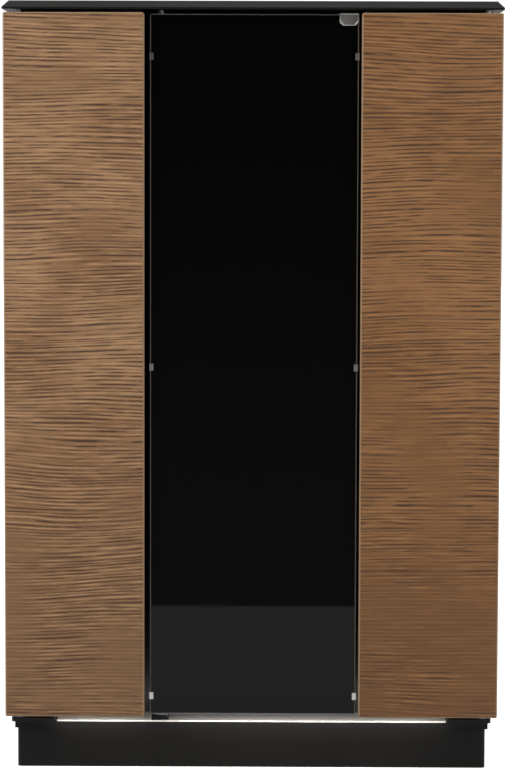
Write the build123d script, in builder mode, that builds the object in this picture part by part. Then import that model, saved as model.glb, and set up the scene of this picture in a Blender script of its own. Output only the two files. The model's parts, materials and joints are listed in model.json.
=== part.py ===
from build123d import *
import os
from math import cos, radians, sin

# Pellet boiler stove, in millimetres.
# X is to the right seen from the front, Y is to the back, Z is up.
# The origin is on the floor, under the middle of the whole stove.

os.makedirs("parts", exist_ok=True)

# Overall size
overall_width = 640
overall_height = 1000
overall_depth = 640
stub_reach = 45

# Fits
running_fit = 0.08
seat_gap = 0.3

# Top plate
top_plate_thick = 11
top_plate_bevel = 8.5
top_plate_overhang = 2
pivot_hole_depth = 7

# Plinth, base plate and feet
plinth_height = 60
plinth_inset = 12
plinth_setback = 55
plinth_sheet = 3
plinth_corner = 6
base_plate_thick = 2
foot_pad_radius = 20
foot_pad_height = 8
foot_screw_radius = 5
foot_inset = 45

# Casing sheets
casing_sheet = 2
casing_setback = 23
casing_return = 25
panel_setback = 110
back_vent_length = 90
back_vent_height = 5
back_vent_pitch = 15
back_vent_count = 8

# Wooden service doors
wood_thick = 20
wood_width = 180
wood_side_inset = 1
wood_arris = 1.6
door_top_gap = 4
door_bottom_gap = 15
wood_axis_inset = 19
wood_axis_back = 12
catch_width = 40
catch_depth = 15
catch_height = 26
catch_inset = 6

# Pivot pins and brackets
pin_radius = 4
pin_grip = 25
pin_collar_radius = 7
bracket_thick = 5
bracket_gap = 2
bracket_front_margin = 10
bracket_foot = 28
wood_bracket_inset = 9
wood_bracket_width = 55
wood_bracket_drop = 10
wood_bracket_lip = 3
glass_bracket_width = 21
glass_bracket_chamfer = 6

# Glass door
glass_thick = 5
glass_recess = 17
glass_hinge_gap = 7
glass_free_gap = 3.5
glass_end_inset = 1
glass_corner = 2
glass_bevel = 1.2
glass_axis_inset = 14
glass_axis_back = 12
frame_inset = 2
frame_rail = 28
frame_depth = 18
frame_top_drop = 30
frame_lug_width = 26
clip_width = 4.5
clip_height = 9
clip_sheet = 0.8
clip_end_distance = 24
clip_leg = 4
strike_width = 25
strike_height = 16
strike_sheet = 1.5
strike_chamfer = 4
strike_round = 1.2
strike_back_height = 12

# Touch latch
latch_side = 14
latch_length = 60
latch_drop = 8
latch_foot_length = 40
latch_head_radius = 5
latch_head_length = 4.5
latch_rod_radius = 3
latch_stroke = 10

# Boiler body
boiler_x = 16
boiler_half = 130
boiler_back_y = 60
boiler_top_z = 620
jacket_front = 20
jacket_back = 25
fire_half = 95
fire_floor_z = 240
fire_roof = 20
fire_mouth_half = 80
fire_mouth_low_z = 335
fire_mouth_drop = 25
ash_slot_width = 25
ash_slot_length = 120
ash_slot_pitch = 150
baffle_thick = 8
baffle_drop = 50
baffle_depth = 125
baffle_ledge = 8
exchanger_half = 110
exchanger_gap = 7
exchanger_headroom = 89
exchanger_wall = 20
tube_radius = 18
tube_pitch_x = 60
tube_pitch_y = 70
tube_columns = 3
tube_rows = 2

# Burn pot, pellet slide and igniter
pot_top_side = 104
pot_bottom_side = 84
pot_height = 80
pot_wall = 5
pot_floor = 22
pot_y = -75
pot_hole_radius = 3
pot_hole_pitch = 16
pot_hole_count = 4
slide_half = 25
slide_sheet = 3
slide_rim = 12
slide_reach = 60
slide_drop = 95
igniter_radius = 5
igniter_z = 272
igniter_flange_radius = 12
igniter_flange_thick = 6

# Firebox door
fire_door_width = 200
fire_door_low_z = 300
fire_door_drop = 10
fire_door_thick = 20
fire_door_corner = 10
fire_door_bevel = 3
fire_axis_offset = 10
fire_knuckle_radius = 7
fire_knuckle_length = 24
fire_pin_radius = 3
fire_window_half = 70
fire_window_low_z = 350
fire_window_drop = 50
fire_glass_thick = 4
fire_glass_lap = 10
gasket_thick = 3
gasket_width = 10
handle_boss_radius = 11
handle_boss_reach = 12
handle_grip_length = 70
handle_grip_radius = 7
handle_grip_round = 2.3
handle_inset = 16

# Ash drawer
drawer_half = 76
drawer_low_z = 168
drawer_height = 60
drawer_depth = 192
drawer_sheet = 1.5
drawer_front_half = 88
drawer_front_thick = 6
drawer_front_margin = 9
drawer_lip_half = 40
drawer_lip_reach = 20
drawer_lip_thick = 5
drawer_room = 3

# Flue tube cleaning lever
guide_width = 30
guide_depth = 12
guide_wall = 4
guide_length = 120
guide_rise = 80
guide_slot = 9
lever_stroke = 60
lever_stem_radius = 3.5
lever_reach = 22
lever_knob_radius = 10

# Pellet hopper and lid
hopper_half = 200
hopper_front_y = 60
hopper_back_gap = 5
hopper_sheet = 1.5
funnel_height = 125
neck_half = 30
neck_rise = 94
lid_half = 150
lid_depth = 165
lid_thick = 9
lid_back_gap = 22
lid_gap = 1
lid_ledge = 8
lid_pin_radius = 2
lid_pin_length = 8
lid_scoop_radius = 14
lid_scoop_depth = 7

# Auger
auger_tilt = 45
auger_outlet_y = 28
auger_outlet_rise = 78
auger_inlet_y = 165
auger_tube_radius = 30
auger_tube_wall = 2
auger_end_margin = 42
auger_flight_radius = 26
auger_core_radius = 9
auger_pitch = 45
auger_flight_thick = 3
auger_shaft_radius = 5
chute_half = 22
gearbox_width = 60
gearbox_length = 34
gearbox_round = 6
motor_radius = 26
motor_length = 55
motor_round = 5

# Smoke fan and flue
fan_x = -75
fan_z = 200
fan_radius = 75
fan_depth = 50
fan_wall = 3
fan_inlet_radius = 30
impeller_radius = 62
impeller_blades = 8
impeller_hub_radius = 10
impeller_blade_inset = 1
impeller_disc_thick = 3
impeller_blade_thick = 3
impeller_gap = 6
fan_shaft_radius = 4
fan_motor_radius = 35
fan_motor_length = 60
flue_radius = 40
flue_wall = 2
flue_z = 300
flue_box_half = 45
flue_flange_radius = 44
flue_flange_thick = 4
spigot_step = 1
air_inlet_radius = 25
air_inlet_wall = 1.5
air_inlet_x = 106
air_inlet_z = 150
back_hole_gap = 1.5

# Water side
pipe_radius = 11
pipe_wall = 1.5
thread_radius = 13.2
thread_length = 20
supply_x = -90
supply_drop = 60
return_z = 200
return_bend = 30
return_entry_y = -60
pump_y = 60
pump_half = 60
pump_port_radius = 16
pump_volute_radius = 40
pump_volute_length = 50
pump_motor_radius = 35
pump_motor_length = 55
pump_nut_radius = 21
pump_nut_length = 16
vessel_radius = 70
vessel_side_gap = 16
vessel_y = 150
vessel_low_z = 380
vessel_height = 250
vessel_dome = 35
vessel_lug_height = 60
vessel_lug_depth = 40
vessel_pipe_radius = 8
valve_y = 200
valve_body_radius = 12
valve_body_height = 30
valve_cap_radius = 15
valve_cap_height = 22
valve_cap_taper = 11
gauge_x = -220
gauge_drop = 139
gauge_radius = 26
gauge_rim = 3
gauge_depth = 24
gauge_face_depth = 2
drain_y = -150
drain_z = 130
drain_radius = 9
drain_length = 40
drain_stem_radius = 4
drain_stem_height = 14
drain_handle_length = 50
drain_handle_width = 12
drain_handle_thick = 4

# Electrical side
box_depth = 60
box_length = 180
box_height = 220
box_y = 90
box_z = 510
box_corner = 6
box_lid_depth = 12
box_groove = 2
panel_x = 200
panel_y = -230
panel_width = 160
panel_depth = 70
panel_thick = 2.5
inlet_x = 220
inlet_z = 150
inlet_width = 50
inlet_height = 70
inlet_flange = 3
inlet_body_depth = 30
inlet_body_margin = 5
socket_width = 26
socket_height = 18
socket_depth = 18
socket_drop = 15
socket_corner = 4
switch_width = 14
switch_height = 20
switch_rise = 18
switch_pin_radius = 1.5
switch_pin_length = 2
switch_tilt = 8
switch_depth = 7
switch_room = 1

# Front panel cut-outs
window_side = 16
window_width = 130
window_low_z = 110
window_drop = 189
cutout_room = 4

# Places worked out from the sizes above
half_width = overall_width / 2
front_y = -overall_depth / 2
back_y = overall_depth / 2
casing_back_y = back_y - stub_reach
plate_under_z = overall_height - top_plate_thick
base_top_z = plinth_height + base_plate_thick

wood_front_y = front_y + top_plate_overhang
wood_back_y = wood_front_y + wood_thick
wood_outer_x = half_width - wood_side_inset
wood_inner_x = wood_outer_x - wood_width
door_low_z = base_top_z + door_bottom_gap
door_high_z = plate_under_z - door_top_gap
wood_axis_x = wood_outer_x - wood_axis_inset
wood_axis_y = wood_front_y + wood_axis_back

plinth_half = half_width - plinth_inset
plinth_front_y = wood_front_y + plinth_setback
casing_front_y = wood_back_y + casing_setback
panel_front_y = wood_front_y + panel_setback
panel_back_y = panel_front_y + casing_sheet
casing_inner_x = plinth_half - casing_sheet

glass_front_y = wood_front_y + glass_recess
glass_back_y = glass_front_y + glass_thick
glass_left_x = -wood_inner_x + glass_hinge_gap
glass_right_x = wood_inner_x - glass_free_gap
glass_low_z = door_low_z + glass_end_inset
glass_high_z = door_high_z - glass_end_inset
glass_axis_x = glass_left_x + glass_axis_inset
glass_axis_y = glass_front_y + glass_axis_back
frame_left_x = glass_left_x + frame_inset
frame_right_x = glass_right_x - frame_inset
frame_low_z = glass_low_z + frame_inset
frame_high_z = glass_high_z - frame_top_drop
frame_lug_z = glass_high_z - frame_inset
bracket_top_z = door_low_z - bracket_gap
bracket_foot_y = plinth_front_y + bracket_foot

fire_top_z = boiler_top_z - fire_roof
fire_mouth_high_z = fire_top_z - fire_mouth_drop
fire_door_high_z = boiler_top_z - fire_door_drop
fire_window_high_z = fire_door_high_z - fire_window_drop
baffle_z = fire_top_z - baffle_drop
fire_door_left_x = boiler_x - fire_door_width / 2
fire_door_right_x = boiler_x + fire_door_width / 2
fire_door_back_y = panel_back_y - gasket_thick
fire_door_front_y = fire_door_back_y - fire_door_thick
fire_axis_x = fire_door_left_x - fire_axis_offset
fire_axis_y = fire_door_front_y
fire_back_y = boiler_back_y - jacket_back
handle_x = fire_door_right_x - handle_inset
handle_z = (fire_door_low_z + fire_door_high_z) / 2
guide_z = boiler_top_z + guide_rise
drawer_back_y = panel_back_y + drawer_depth
hopper_back_y = casing_back_y - casing_sheet - hopper_back_gap
lid_back_y = hopper_back_y - lid_back_gap
lid_front_y = lid_back_y - lid_depth
lid_axis_y = lid_back_y - lid_thick / 2
lid_axis_z = overall_height - lid_thick / 2
auger_run = (auger_inlet_y - auger_outlet_y) / sin(radians(auger_tilt))
auger_length = auger_run + 2 * auger_end_margin
auger_low_y = auger_inlet_y + auger_end_margin * sin(radians(auger_tilt))
auger_outlet_z = boiler_top_z + auger_outlet_rise
auger_inlet_z = auger_outlet_z - auger_run * cos(radians(auger_tilt))
auger_low_z = auger_inlet_z - auger_end_margin * cos(radians(auger_tilt))
auger_high_y = auger_low_y - auger_length * sin(radians(auger_tilt))
auger_front_y = auger_high_y - auger_tube_radius * cos(radians(auger_tilt))
neck_z = auger_inlet_z + neck_rise
hopper_bend_z = neck_z + funnel_height
exchanger_back_y = auger_front_y - exchanger_gap
exchanger_top_z = plate_under_z - exchanger_headroom
tube_y = (panel_back_y + exchanger_back_y) / 2
flue_x = fan_x + fan_radius - flue_box_half
supply_z = boiler_top_z - supply_drop
return_x = -casing_inner_x + vessel_side_gap + vessel_radius
gauge_z = plate_under_z - gauge_drop
window_high_z = plate_under_z - window_drop
vessel_high_z = vessel_low_z + vessel_height

# The auger's axis runs up and to the front from its lower end
auger_plane = Plane(
    origin=(boiler_x, auger_low_y, auger_low_z),
    x_dir=(1, 0, 0),
    z_dir=(0, -sin(radians(auger_tilt)), cos(radians(auger_tilt))),
)


def facing_front(y):
    """The upright plane at depth y that looks to the front, with X and Z as its own axes."""
    return Plane.XZ.offset(-y)


def facing_right(x):
    """The upright plane at x that looks to the right, with Y and Z as its own axes."""
    return Plane.YZ.offset(x)


def facing_back(y):
    """The upright plane at depth y that looks to the back."""
    return Plane(origin=(0, y, 0), x_dir=(-1, 0, 0), z_dir=(0, 1, 0))


def rectangle_between(left, right, low, high, mode=Mode.ADD):
    """A rectangle given by its four sides."""
    with Locations(((left + right) / 2, (low + high) / 2)):
        Rectangle(right - left, high - low, mode=mode)


# Plinth: an upturned tray that stands on the floor
with BuildPart() as plinth:
    with BuildSketch():
        rectangle_between(-plinth_half, plinth_half, plinth_front_y, casing_back_y)
    extrude(amount=plinth_height)
    fillet(plinth.edges().filter_by(Axis.Z), radius=plinth_corner)
    with BuildSketch():
        rectangle_between(
            -plinth_half + plinth_sheet,
            plinth_half - plinth_sheet,
            plinth_front_y + plinth_sheet,
            casing_back_y - plinth_sheet,
        )
    extrude(amount=plinth_height - plinth_sheet, mode=Mode.SUBTRACT)
plinth.part.label = "plinth"
export_step(plinth.part, "parts/plinth.step")

with BuildPart() as base_plate:
    with BuildSketch(Plane.XY.offset(plinth_height)):
        rectangle_between(-plinth_half, plinth_half, plinth_front_y, casing_back_y)
    extrude(amount=base_plate_thick)
base_plate.part.label = "base_plate"
export_step(base_plate.part, "parts/base_plate.step")

# Levelling feet: a pad and a screw under the deck of the plinth, in four corners
foot_pitch_x = 2 * (plinth_half - foot_inset)
foot_pitch_y = casing_back_y - plinth_front_y - 2 * foot_inset
foot_centre_y = (casing_back_y + plinth_front_y) / 2
with BuildPart() as levelling_feet:
    with Locations((0, foot_centre_y, 0)):
        with GridLocations(foot_pitch_x, foot_pitch_y, 2, 2):
            Cylinder(
                foot_pad_radius,
                foot_pad_height,
                align=(Align.CENTER, Align.CENTER, Align.MIN),
            )
            Cylinder(
                foot_screw_radius,
                plinth_height - plinth_sheet,
                align=(Align.CENTER, Align.CENTER, Align.MIN),
            )
levelling_feet.part.label = "levelling_feet"
export_step(levelling_feet.part, "parts/levelling_feet.step")


def casing_side(side):
    """A side sheet, folded inwards along its front edge and notched round the door bracket.

    The side is -1 on the left and 1 on the right."""
    outer = side * plinth_half
    inner = side * casing_inner_x
    fold = side * (plinth_half - casing_return)
    with BuildPart() as sheet:
        with BuildSketch(Plane.XY.offset(base_top_z)):
            with BuildLine():
                Polyline(
                    (outer, casing_back_y),
                    (outer, casing_front_y),
                    (fold, casing_front_y),
                    (fold, casing_front_y + casing_sheet),
                    (inner, casing_front_y + casing_sheet),
                    (inner, casing_back_y),
                    close=True,
                )
            make_face()
        extrude(amount=plate_under_z - base_top_z)
        with BuildSketch(Plane.XY.offset(base_top_z)):
            rectangle_between(
                min(outer, fold), max(outer, fold), casing_front_y, bracket_foot_y + seat_gap
            )
        extrude(amount=bracket_top_z + seat_gap - base_top_z, mode=Mode.SUBTRACT)
    return sheet


casing_left = casing_side(-1)
casing_left.part.label = "casing_left"
export_step(casing_left.part, "parts/casing_left.step")

casing_right = casing_side(1)
casing_right.part.label = "casing_right"
export_step(casing_right.part, "parts/casing_right.step")

# Back sheet, with holes for the pipes and the power inlet, and rows of vents
inlet_body_width = inlet_width - 2 * inlet_body_margin
inlet_body_height = inlet_height - 2 * inlet_body_margin
vent_x = casing_inner_x / 2
vent_z = (neck_z + flue_z) / 2
with BuildPart() as casing_back:
    with BuildSketch(facing_front(casing_back_y)):
        rectangle_between(-casing_inner_x, casing_inner_x, base_top_z, plate_under_z)
        with Locations((flue_x, flue_z)):
            Circle(flue_radius + back_hole_gap, mode=Mode.SUBTRACT)
        with Locations((air_inlet_x, air_inlet_z)):
            Circle(air_inlet_radius + back_hole_gap, mode=Mode.SUBTRACT)
        with Locations((supply_x, supply_z), (return_x, return_z)):
            Circle(thread_radius + back_hole_gap, mode=Mode.SUBTRACT)
        with Locations((inlet_x, inlet_z)):
            Rectangle(inlet_body_width, inlet_body_height, mode=Mode.SUBTRACT)
        with Locations((-vent_x, vent_z), (vent_x, vent_z)):
            with GridLocations(0, back_vent_pitch, 1, back_vent_count):
                SlotOverall(back_vent_length, back_vent_height, mode=Mode.SUBTRACT)
    extrude(amount=casing_sheet)
casing_back.part.label = "casing_back"
export_step(casing_back.part, "parts/casing_back.step")

# Front panel behind the doors, open at both service bays, the firebox, the drawer and the lever
window_outer_x = casing_inner_x - window_side
window_inner_x = window_outer_x - window_width
with BuildPart() as front_panel:
    with BuildSketch(facing_front(panel_back_y)):
        rectangle_between(-casing_inner_x, casing_inner_x, base_top_z, plate_under_z)
        rectangle_between(
            -window_outer_x, -window_inner_x, window_low_z, window_high_z, Mode.SUBTRACT
        )
        rectangle_between(
            window_inner_x, window_outer_x, window_low_z, window_high_z, Mode.SUBTRACT
        )
        rectangle_between(
            fire_axis_x - fire_knuckle_radius - cutout_room,
            fire_door_right_x + cutout_room,
            fire_door_low_z - cutout_room,
            fire_door_high_z + cutout_room,
            Mode.SUBTRACT,
        )
        rectangle_between(
            boiler_x - drawer_half - drawer_room,
            boiler_x + drawer_half + drawer_room,
            drawer_low_z - seat_gap,
            drawer_low_z + drawer_height + drawer_room,
            Mode.SUBTRACT,
        )
        rectangle_between(
            boiler_x - guide_width / 2,
            boiler_x + guide_width / 2,
            guide_z,
            guide_z + guide_length,
            Mode.SUBTRACT,
        )
        with Locations((gauge_x, gauge_z)):
            Circle(gauge_radius, mode=Mode.SUBTRACT)
    extrude(amount=casing_sheet)
front_panel.part.label = "front_panel"
export_step(front_panel.part, "parts/front_panel.step")

# Top plate: bevelled all round, with the rebated hopper mouth, the display's recess and pivot holes
with BuildPart() as top_plate:
    with BuildSketch(Plane.XY.offset(plate_under_z)):
        rectangle_between(-half_width, half_width, front_y, casing_back_y)
    extrude(amount=top_plate_thick)
    chamfer(top_plate.faces().sort_by(Axis.Z)[-1].edges(), length=top_plate_bevel)
    with BuildSketch(Plane.XY.offset(plate_under_z)):
        rectangle_between(
            -lid_half + lid_ledge, lid_half - lid_ledge, lid_front_y + lid_ledge, lid_back_y + lid_gap
        )
    extrude(amount=top_plate_thick, mode=Mode.SUBTRACT)
    with BuildSketch(Plane.XY.offset(overall_height)):
        rectangle_between(-lid_half - lid_gap, lid_half + lid_gap, lid_front_y - lid_gap, lid_back_y + lid_gap)
    extrude(amount=-lid_thick - seat_gap, mode=Mode.SUBTRACT)
    with BuildSketch(Plane.XY.offset(overall_height)):
        with Locations((0, lid_front_y)):
            Circle(lid_scoop_radius)
    extrude(amount=-lid_scoop_depth, mode=Mode.SUBTRACT)
    with BuildSketch(Plane.XY.offset(overall_height)):
        with Locations((panel_x, panel_y)):
            Rectangle(panel_width + 2 * seat_gap, panel_depth + 2 * seat_gap)
    extrude(amount=-panel_thick, mode=Mode.SUBTRACT)
    with BuildSketch(Plane.XY.offset(plate_under_z)):
        with Locations((-wood_axis_x, wood_axis_y), (wood_axis_x, wood_axis_y), (glass_axis_x, glass_axis_y)):
            Circle(pin_radius + running_fit)
    extrude(amount=pivot_hole_depth, mode=Mode.SUBTRACT)
    with BuildSketch(facing_right(-lid_half - lid_gap - lid_pin_length)):
        with Locations((lid_axis_y, lid_axis_z)):
            Circle(lid_pin_radius + running_fit)
    extrude(amount=2 * (lid_half + lid_gap + lid_pin_length), mode=Mode.SUBTRACT)
top_plate.part.label = "top_plate"
export_step(top_plate.part, "parts/top_plate.step")

# Hopper lid: flush with the plate, round at its back edge, on two side pins
with BuildPart() as hopper_lid:
    with BuildSketch(facing_right(-lid_half)):
        rectangle_between(lid_front_y, lid_axis_y, overall_height - lid_thick, overall_height)
        with Locations((lid_axis_y, lid_axis_z)):
            Circle(lid_thick / 2)
    extrude(amount=2 * lid_half)
    with BuildSketch(facing_right(-lid_half - lid_pin_length)):
        with Locations((lid_axis_y, lid_axis_z)):
            Circle(lid_pin_radius)
    extrude(amount=2 * (lid_half + lid_pin_length))
hopper_lid.part.label = "hopper_lid"
export_step(hopper_lid.part, "parts/hopper_lid.step")

with BuildPart() as control_panel:
    with BuildSketch(Plane.XY.offset(overall_height)):
        with Locations((panel_x, panel_y)):
            Rectangle(panel_width, panel_depth)
    extrude(amount=-panel_thick)
control_panel.part.label = "control_panel"
export_step(control_panel.part, "parts/control_panel.step")


def wood_door(side):
    """A veneered panel with a pivot hole in its top and bottom edges near its outer side."""
    near_x, far_x = sorted((side * wood_inner_x, side * wood_outer_x))
    with BuildPart() as door:
        with BuildSketch(facing_front(wood_back_y)):
            rectangle_between(near_x, far_x, door_low_z, door_high_z)
        extrude(amount=wood_thick)
        chamfer(door.edges(), length=wood_arris)
        for end_z, depth in ((door_low_z, pin_grip), (door_high_z, -pin_grip)):
            with BuildSketch(Plane.XY.offset(end_z)):
                with Locations((side * wood_axis_x, wood_axis_y)):
                    Circle(pin_radius)
            extrude(amount=depth, mode=Mode.SUBTRACT)
    return door


def pivot_pins(x, y, low_z, high_z, bracket_low_z):
    """A lower pin with a collar over the bracket, and an upper pin that reaches into the top plate."""
    with BuildPart() as pins:
        with BuildSketch(Plane.XY.offset(bracket_low_z)):
            with Locations((x, y)):
                Circle(pin_radius)
        extrude(amount=low_z + pin_grip - bracket_low_z)
        with BuildSketch(Plane.XY.offset(bracket_top_z + seat_gap)):
            with Locations((x, y)):
                Circle(pin_collar_radius)
        extrude(amount=low_z - bracket_top_z - seat_gap)
        with BuildSketch(Plane.XY.offset(high_z - pin_grip)):
            with Locations((x, y)):
                Circle(pin_radius)
        extrude(amount=plate_under_z + pivot_hole_depth - seat_gap - high_z + pin_grip)
    return pins


def wood_door_bracket(side):
    """A bracket hooked over the front edge of the plinth, with a tongue under the door's pivot."""
    outer_x = half_width - wood_bracket_inset
    low_x = min(side * outer_x, side * (outer_x - wood_bracket_width))
    tongue_y = wood_axis_y - bracket_front_margin
    tongue_low_z = bracket_top_z - bracket_thick
    with BuildPart() as bracket:
        with BuildSketch(facing_right(low_x)):
            with BuildLine():
                Polyline(
                    (tongue_y, bracket_top_z),
                    (bracket_foot_y, bracket_top_z),
                    (bracket_foot_y, base_top_z),
                    (plinth_front_y, base_top_z),
                    (plinth_front_y, base_top_z - wood_bracket_drop),
                    (plinth_front_y - wood_bracket_lip, base_top_z - wood_bracket_drop),
                    (plinth_front_y - wood_bracket_lip, tongue_low_z),
                    (tongue_y, tongue_low_z),
                    close=True,
                )
            make_face()
        extrude(amount=wood_bracket_width)
        front_corners = bracket.edges().filter_by(Axis.Z).group_by(Axis.Y)[0]
        chamfer(front_corners, length=wood_bracket_lip)
        with BuildSketch(Plane.XY.offset(bracket_top_z)):
            with Locations((side * wood_axis_x, wood_axis_y)):
                Circle(pin_radius + running_fit)
        extrude(amount=-bracket_thick, mode=Mode.SUBTRACT)
    return bracket


wood_door_left = wood_door(-1)
wood_door_left.part.label = "wood_door_left"
export_step(wood_door_left.part, "parts/wood_door_left.step")

wood_door_right = wood_door(1)
wood_door_right.part.label = "wood_door_right"
export_step(wood_door_right.part, "parts/wood_door_right.step")

pin_low_z = bracket_top_z - bracket_thick
left_door_pins = pivot_pins(-wood_axis_x, wood_axis_y, door_low_z, door_high_z, pin_low_z)
left_door_pins.part.label = "left_door_pins"
export_step(left_door_pins.part, "parts/left_door_pins.step")

right_door_pins = pivot_pins(wood_axis_x, wood_axis_y, door_low_z, door_high_z, pin_low_z)
right_door_pins.part.label = "right_door_pins"
export_step(right_door_pins.part, "parts/right_door_pins.step")

left_door_bracket = wood_door_bracket(-1)
left_door_bracket.part.label = "left_door_bracket"
export_step(left_door_bracket.part, "parts/left_door_bracket.step")

right_door_bracket = wood_door_bracket(1)
right_door_bracket.part.label = "right_door_bracket"
export_step(right_door_bracket.part, "parts/right_door_bracket.step")

# Magnetic catches behind the inner edges of the wooden doors, under the top plate
catch_x = wood_inner_x + catch_inset + catch_width / 2
with BuildPart() as door_catches:
    with BuildSketch(Plane.XY.offset(plate_under_z)):
        with Locations(
            (-catch_x, wood_back_y + seat_gap + catch_depth / 2),
            (catch_x, wood_back_y + seat_gap + catch_depth / 2),
        ):
            Rectangle(catch_width, catch_depth)
    extrude(amount=-catch_height)
door_catches.part.label = "door_catches"
export_step(door_catches.part, "parts/door_catches.step")

# Glass door: the pane, its front edge bevelled all round
with BuildPart() as glass_pane:
    with BuildSketch(facing_front(glass_back_y)):
        rectangle_between(glass_left_x, glass_right_x, glass_low_z, glass_high_z)
    extrude(amount=glass_thick)
    fillet(glass_pane.edges().filter_by(Axis.Y), radius=glass_corner)
    chamfer(glass_pane.faces().sort_by(Axis.Y)[0].edges(), length=glass_bevel)
glass_pane.part.label = "glass_pane"
export_step(glass_pane.part, "parts/glass_pane.step")

# Frame behind the pane, lower than the pane at its top, with a lug up to the upper pivot
with BuildPart() as glass_frame:
    with BuildSketch(facing_front(glass_back_y + frame_depth)):
        rectangle_between(frame_left_x, frame_right_x, frame_low_z, frame_high_z)
        rectangle_between(
            frame_left_x + frame_rail,
            frame_right_x - frame_rail,
            frame_low_z + frame_rail,
            frame_high_z - frame_rail,
            Mode.SUBTRACT,
        )
        rectangle_between(frame_left_x, frame_left_x + frame_lug_width, frame_high_z, frame_lug_z)
    extrude(amount=frame_depth)
    for end_z, depth in ((frame_low_z, pin_grip), (frame_lug_z, -pin_grip)):
        with BuildSketch(Plane.XY.offset(end_z)):
            with Locations((glass_axis_x, glass_axis_y)):
                Circle(pin_radius)
        extrude(amount=depth, mode=Mode.SUBTRACT)
glass_frame.part.label = "glass_frame"
export_step(glass_frame.part, "parts/glass_frame.step")

# Six small clips that reach round the edges of the pane and grip the sides of the frame
clip_heights = (
    glass_high_z - clip_end_distance - frame_top_drop,
    (glass_high_z + glass_low_z) / 2,
    glass_low_z + clip_end_distance,
)
with BuildPart() as glass_clips:
    for clip_z in clip_heights:
        for edge_x, inward in ((glass_left_x, 1), (glass_right_x, -1)):
            with BuildSketch(Plane.XY.offset(clip_z - clip_height / 2)):
                with BuildLine():
                    Polyline(
                        (edge_x + inward * clip_width, glass_front_y),
                        (edge_x + inward * clip_width, glass_front_y - clip_sheet),
                        (edge_x - inward * clip_sheet, glass_front_y - clip_sheet),
                        (edge_x - inward * clip_sheet, glass_back_y + clip_sheet + clip_leg),
                        (edge_x + inward * frame_inset, glass_back_y + clip_sheet + clip_leg),
                        (edge_x + inward * frame_inset, glass_back_y + clip_sheet),
                        (edge_x, glass_back_y + clip_sheet),
                        (edge_x, glass_front_y),
                        close=True,
                    )
                make_face()
            extrude(amount=clip_height)
glass_clips.part.label = "glass_clips"
export_step(glass_clips.part, "parts/glass_clips.step")

# Strike plate: folded over the top edge of the pane at its free corner
strike_left_x = glass_right_x - strike_width
strike_front_y = glass_front_y - strike_sheet
strike_back_y = glass_back_y + strike_sheet
strike_top_z = glass_high_z + strike_sheet
strike_low_z = strike_top_z - strike_height
with BuildPart() as strike_plate:
    with BuildSketch(facing_right(strike_left_x)):
        with BuildLine():
            Polyline(
                (strike_front_y, strike_low_z),
                (strike_front_y, strike_top_z),
                (strike_back_y, strike_top_z),
                (strike_back_y, strike_top_z - strike_back_height),
                (glass_back_y, strike_top_z - strike_back_height),
                (glass_back_y, glass_high_z),
                (glass_front_y, glass_high_z),
                (glass_front_y, strike_low_z),
                close=True,
            )
        make_face()
    extrude(amount=strike_width)
    front_tab_edges = strike_plate.edges().filter_by(Axis.Y).group_by(Axis.Z)[0]
    chamfer(front_tab_edges, length=strike_chamfer)
    top_corner = strike_plate.edges().filter_by(Axis.Y).group_by(Axis.Z)[-1].sort_by(Axis.X)[-1]
    fillet(top_corner, radius=strike_round)
strike_plate.part.label = "strike_plate"
export_step(strike_plate.part, "parts/strike_plate.step")

glass_door_pins = pivot_pins(glass_axis_x, glass_axis_y, frame_low_z, frame_lug_z, pin_low_z)
glass_door_pins.part.label = "glass_door_pins"
export_step(glass_door_pins.part, "parts/glass_door_pins.step")

# Lower pivot bracket of the glass door: a tongue on a foot that stands on the base plate
glass_bracket_left_x = glass_left_x + frame_inset
tongue_front_y = glass_front_y - strike_sheet
with BuildPart() as glass_door_bracket:
    with BuildSketch(facing_right(glass_bracket_left_x)):
        with BuildLine():
            Polyline(
                (tongue_front_y, bracket_top_z),
                (bracket_foot_y, bracket_top_z),
                (bracket_foot_y, base_top_z),
                (plinth_front_y, base_top_z),
                (plinth_front_y, bracket_top_z - bracket_thick),
                (tongue_front_y, bracket_top_z - bracket_thick),
                close=True,
            )
        make_face()
    extrude(amount=glass_bracket_width)
    tongue_corner = glass_door_bracket.edges().filter_by(Axis.Z).group_by(Axis.Y)[0].sort_by(Axis.X)[-1]
    chamfer(tongue_corner, length=glass_bracket_chamfer)
    with BuildSketch(Plane.XY.offset(bracket_top_z)):
        with Locations((glass_axis_x, glass_axis_y)):
            Circle(pin_radius + running_fit)
    extrude(amount=-bracket_thick, mode=Mode.SUBTRACT)
glass_door_bracket.part.label = "glass_door_bracket"
export_step(glass_door_bracket.part, "parts/glass_door_bracket.step")

# Touch latch under the top plate: its plunger's magnet meets the back of the strike plate
latch_x = (strike_left_x + glass_right_x) / 2
latch_z = plate_under_z - latch_drop - latch_side / 2
latch_head_front_y = strike_back_y + seat_gap
latch_body_front_y = latch_head_front_y + latch_head_length + seat_gap
with BuildPart() as latch_body:
    with BuildSketch(facing_back(latch_body_front_y)):
        with Locations((-latch_x, latch_z)):
            Rectangle(latch_side, latch_side)
    extrude(amount=latch_length)
    with BuildSketch(Plane.XY.offset(plate_under_z)):
        with Locations((latch_x, latch_body_front_y + latch_length - latch_foot_length / 2)):
            Rectangle(latch_side, latch_foot_length)
    extrude(amount=-latch_drop)
    with BuildSketch(facing_back(latch_body_front_y)):
        with Locations((-latch_x, latch_z)):
            Circle(latch_rod_radius + running_fit)
    extrude(amount=latch_length - latch_stroke, mode=Mode.SUBTRACT)
latch_body.part.label = "latch_body"
export_step(latch_body.part, "parts/latch_body.step")

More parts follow.
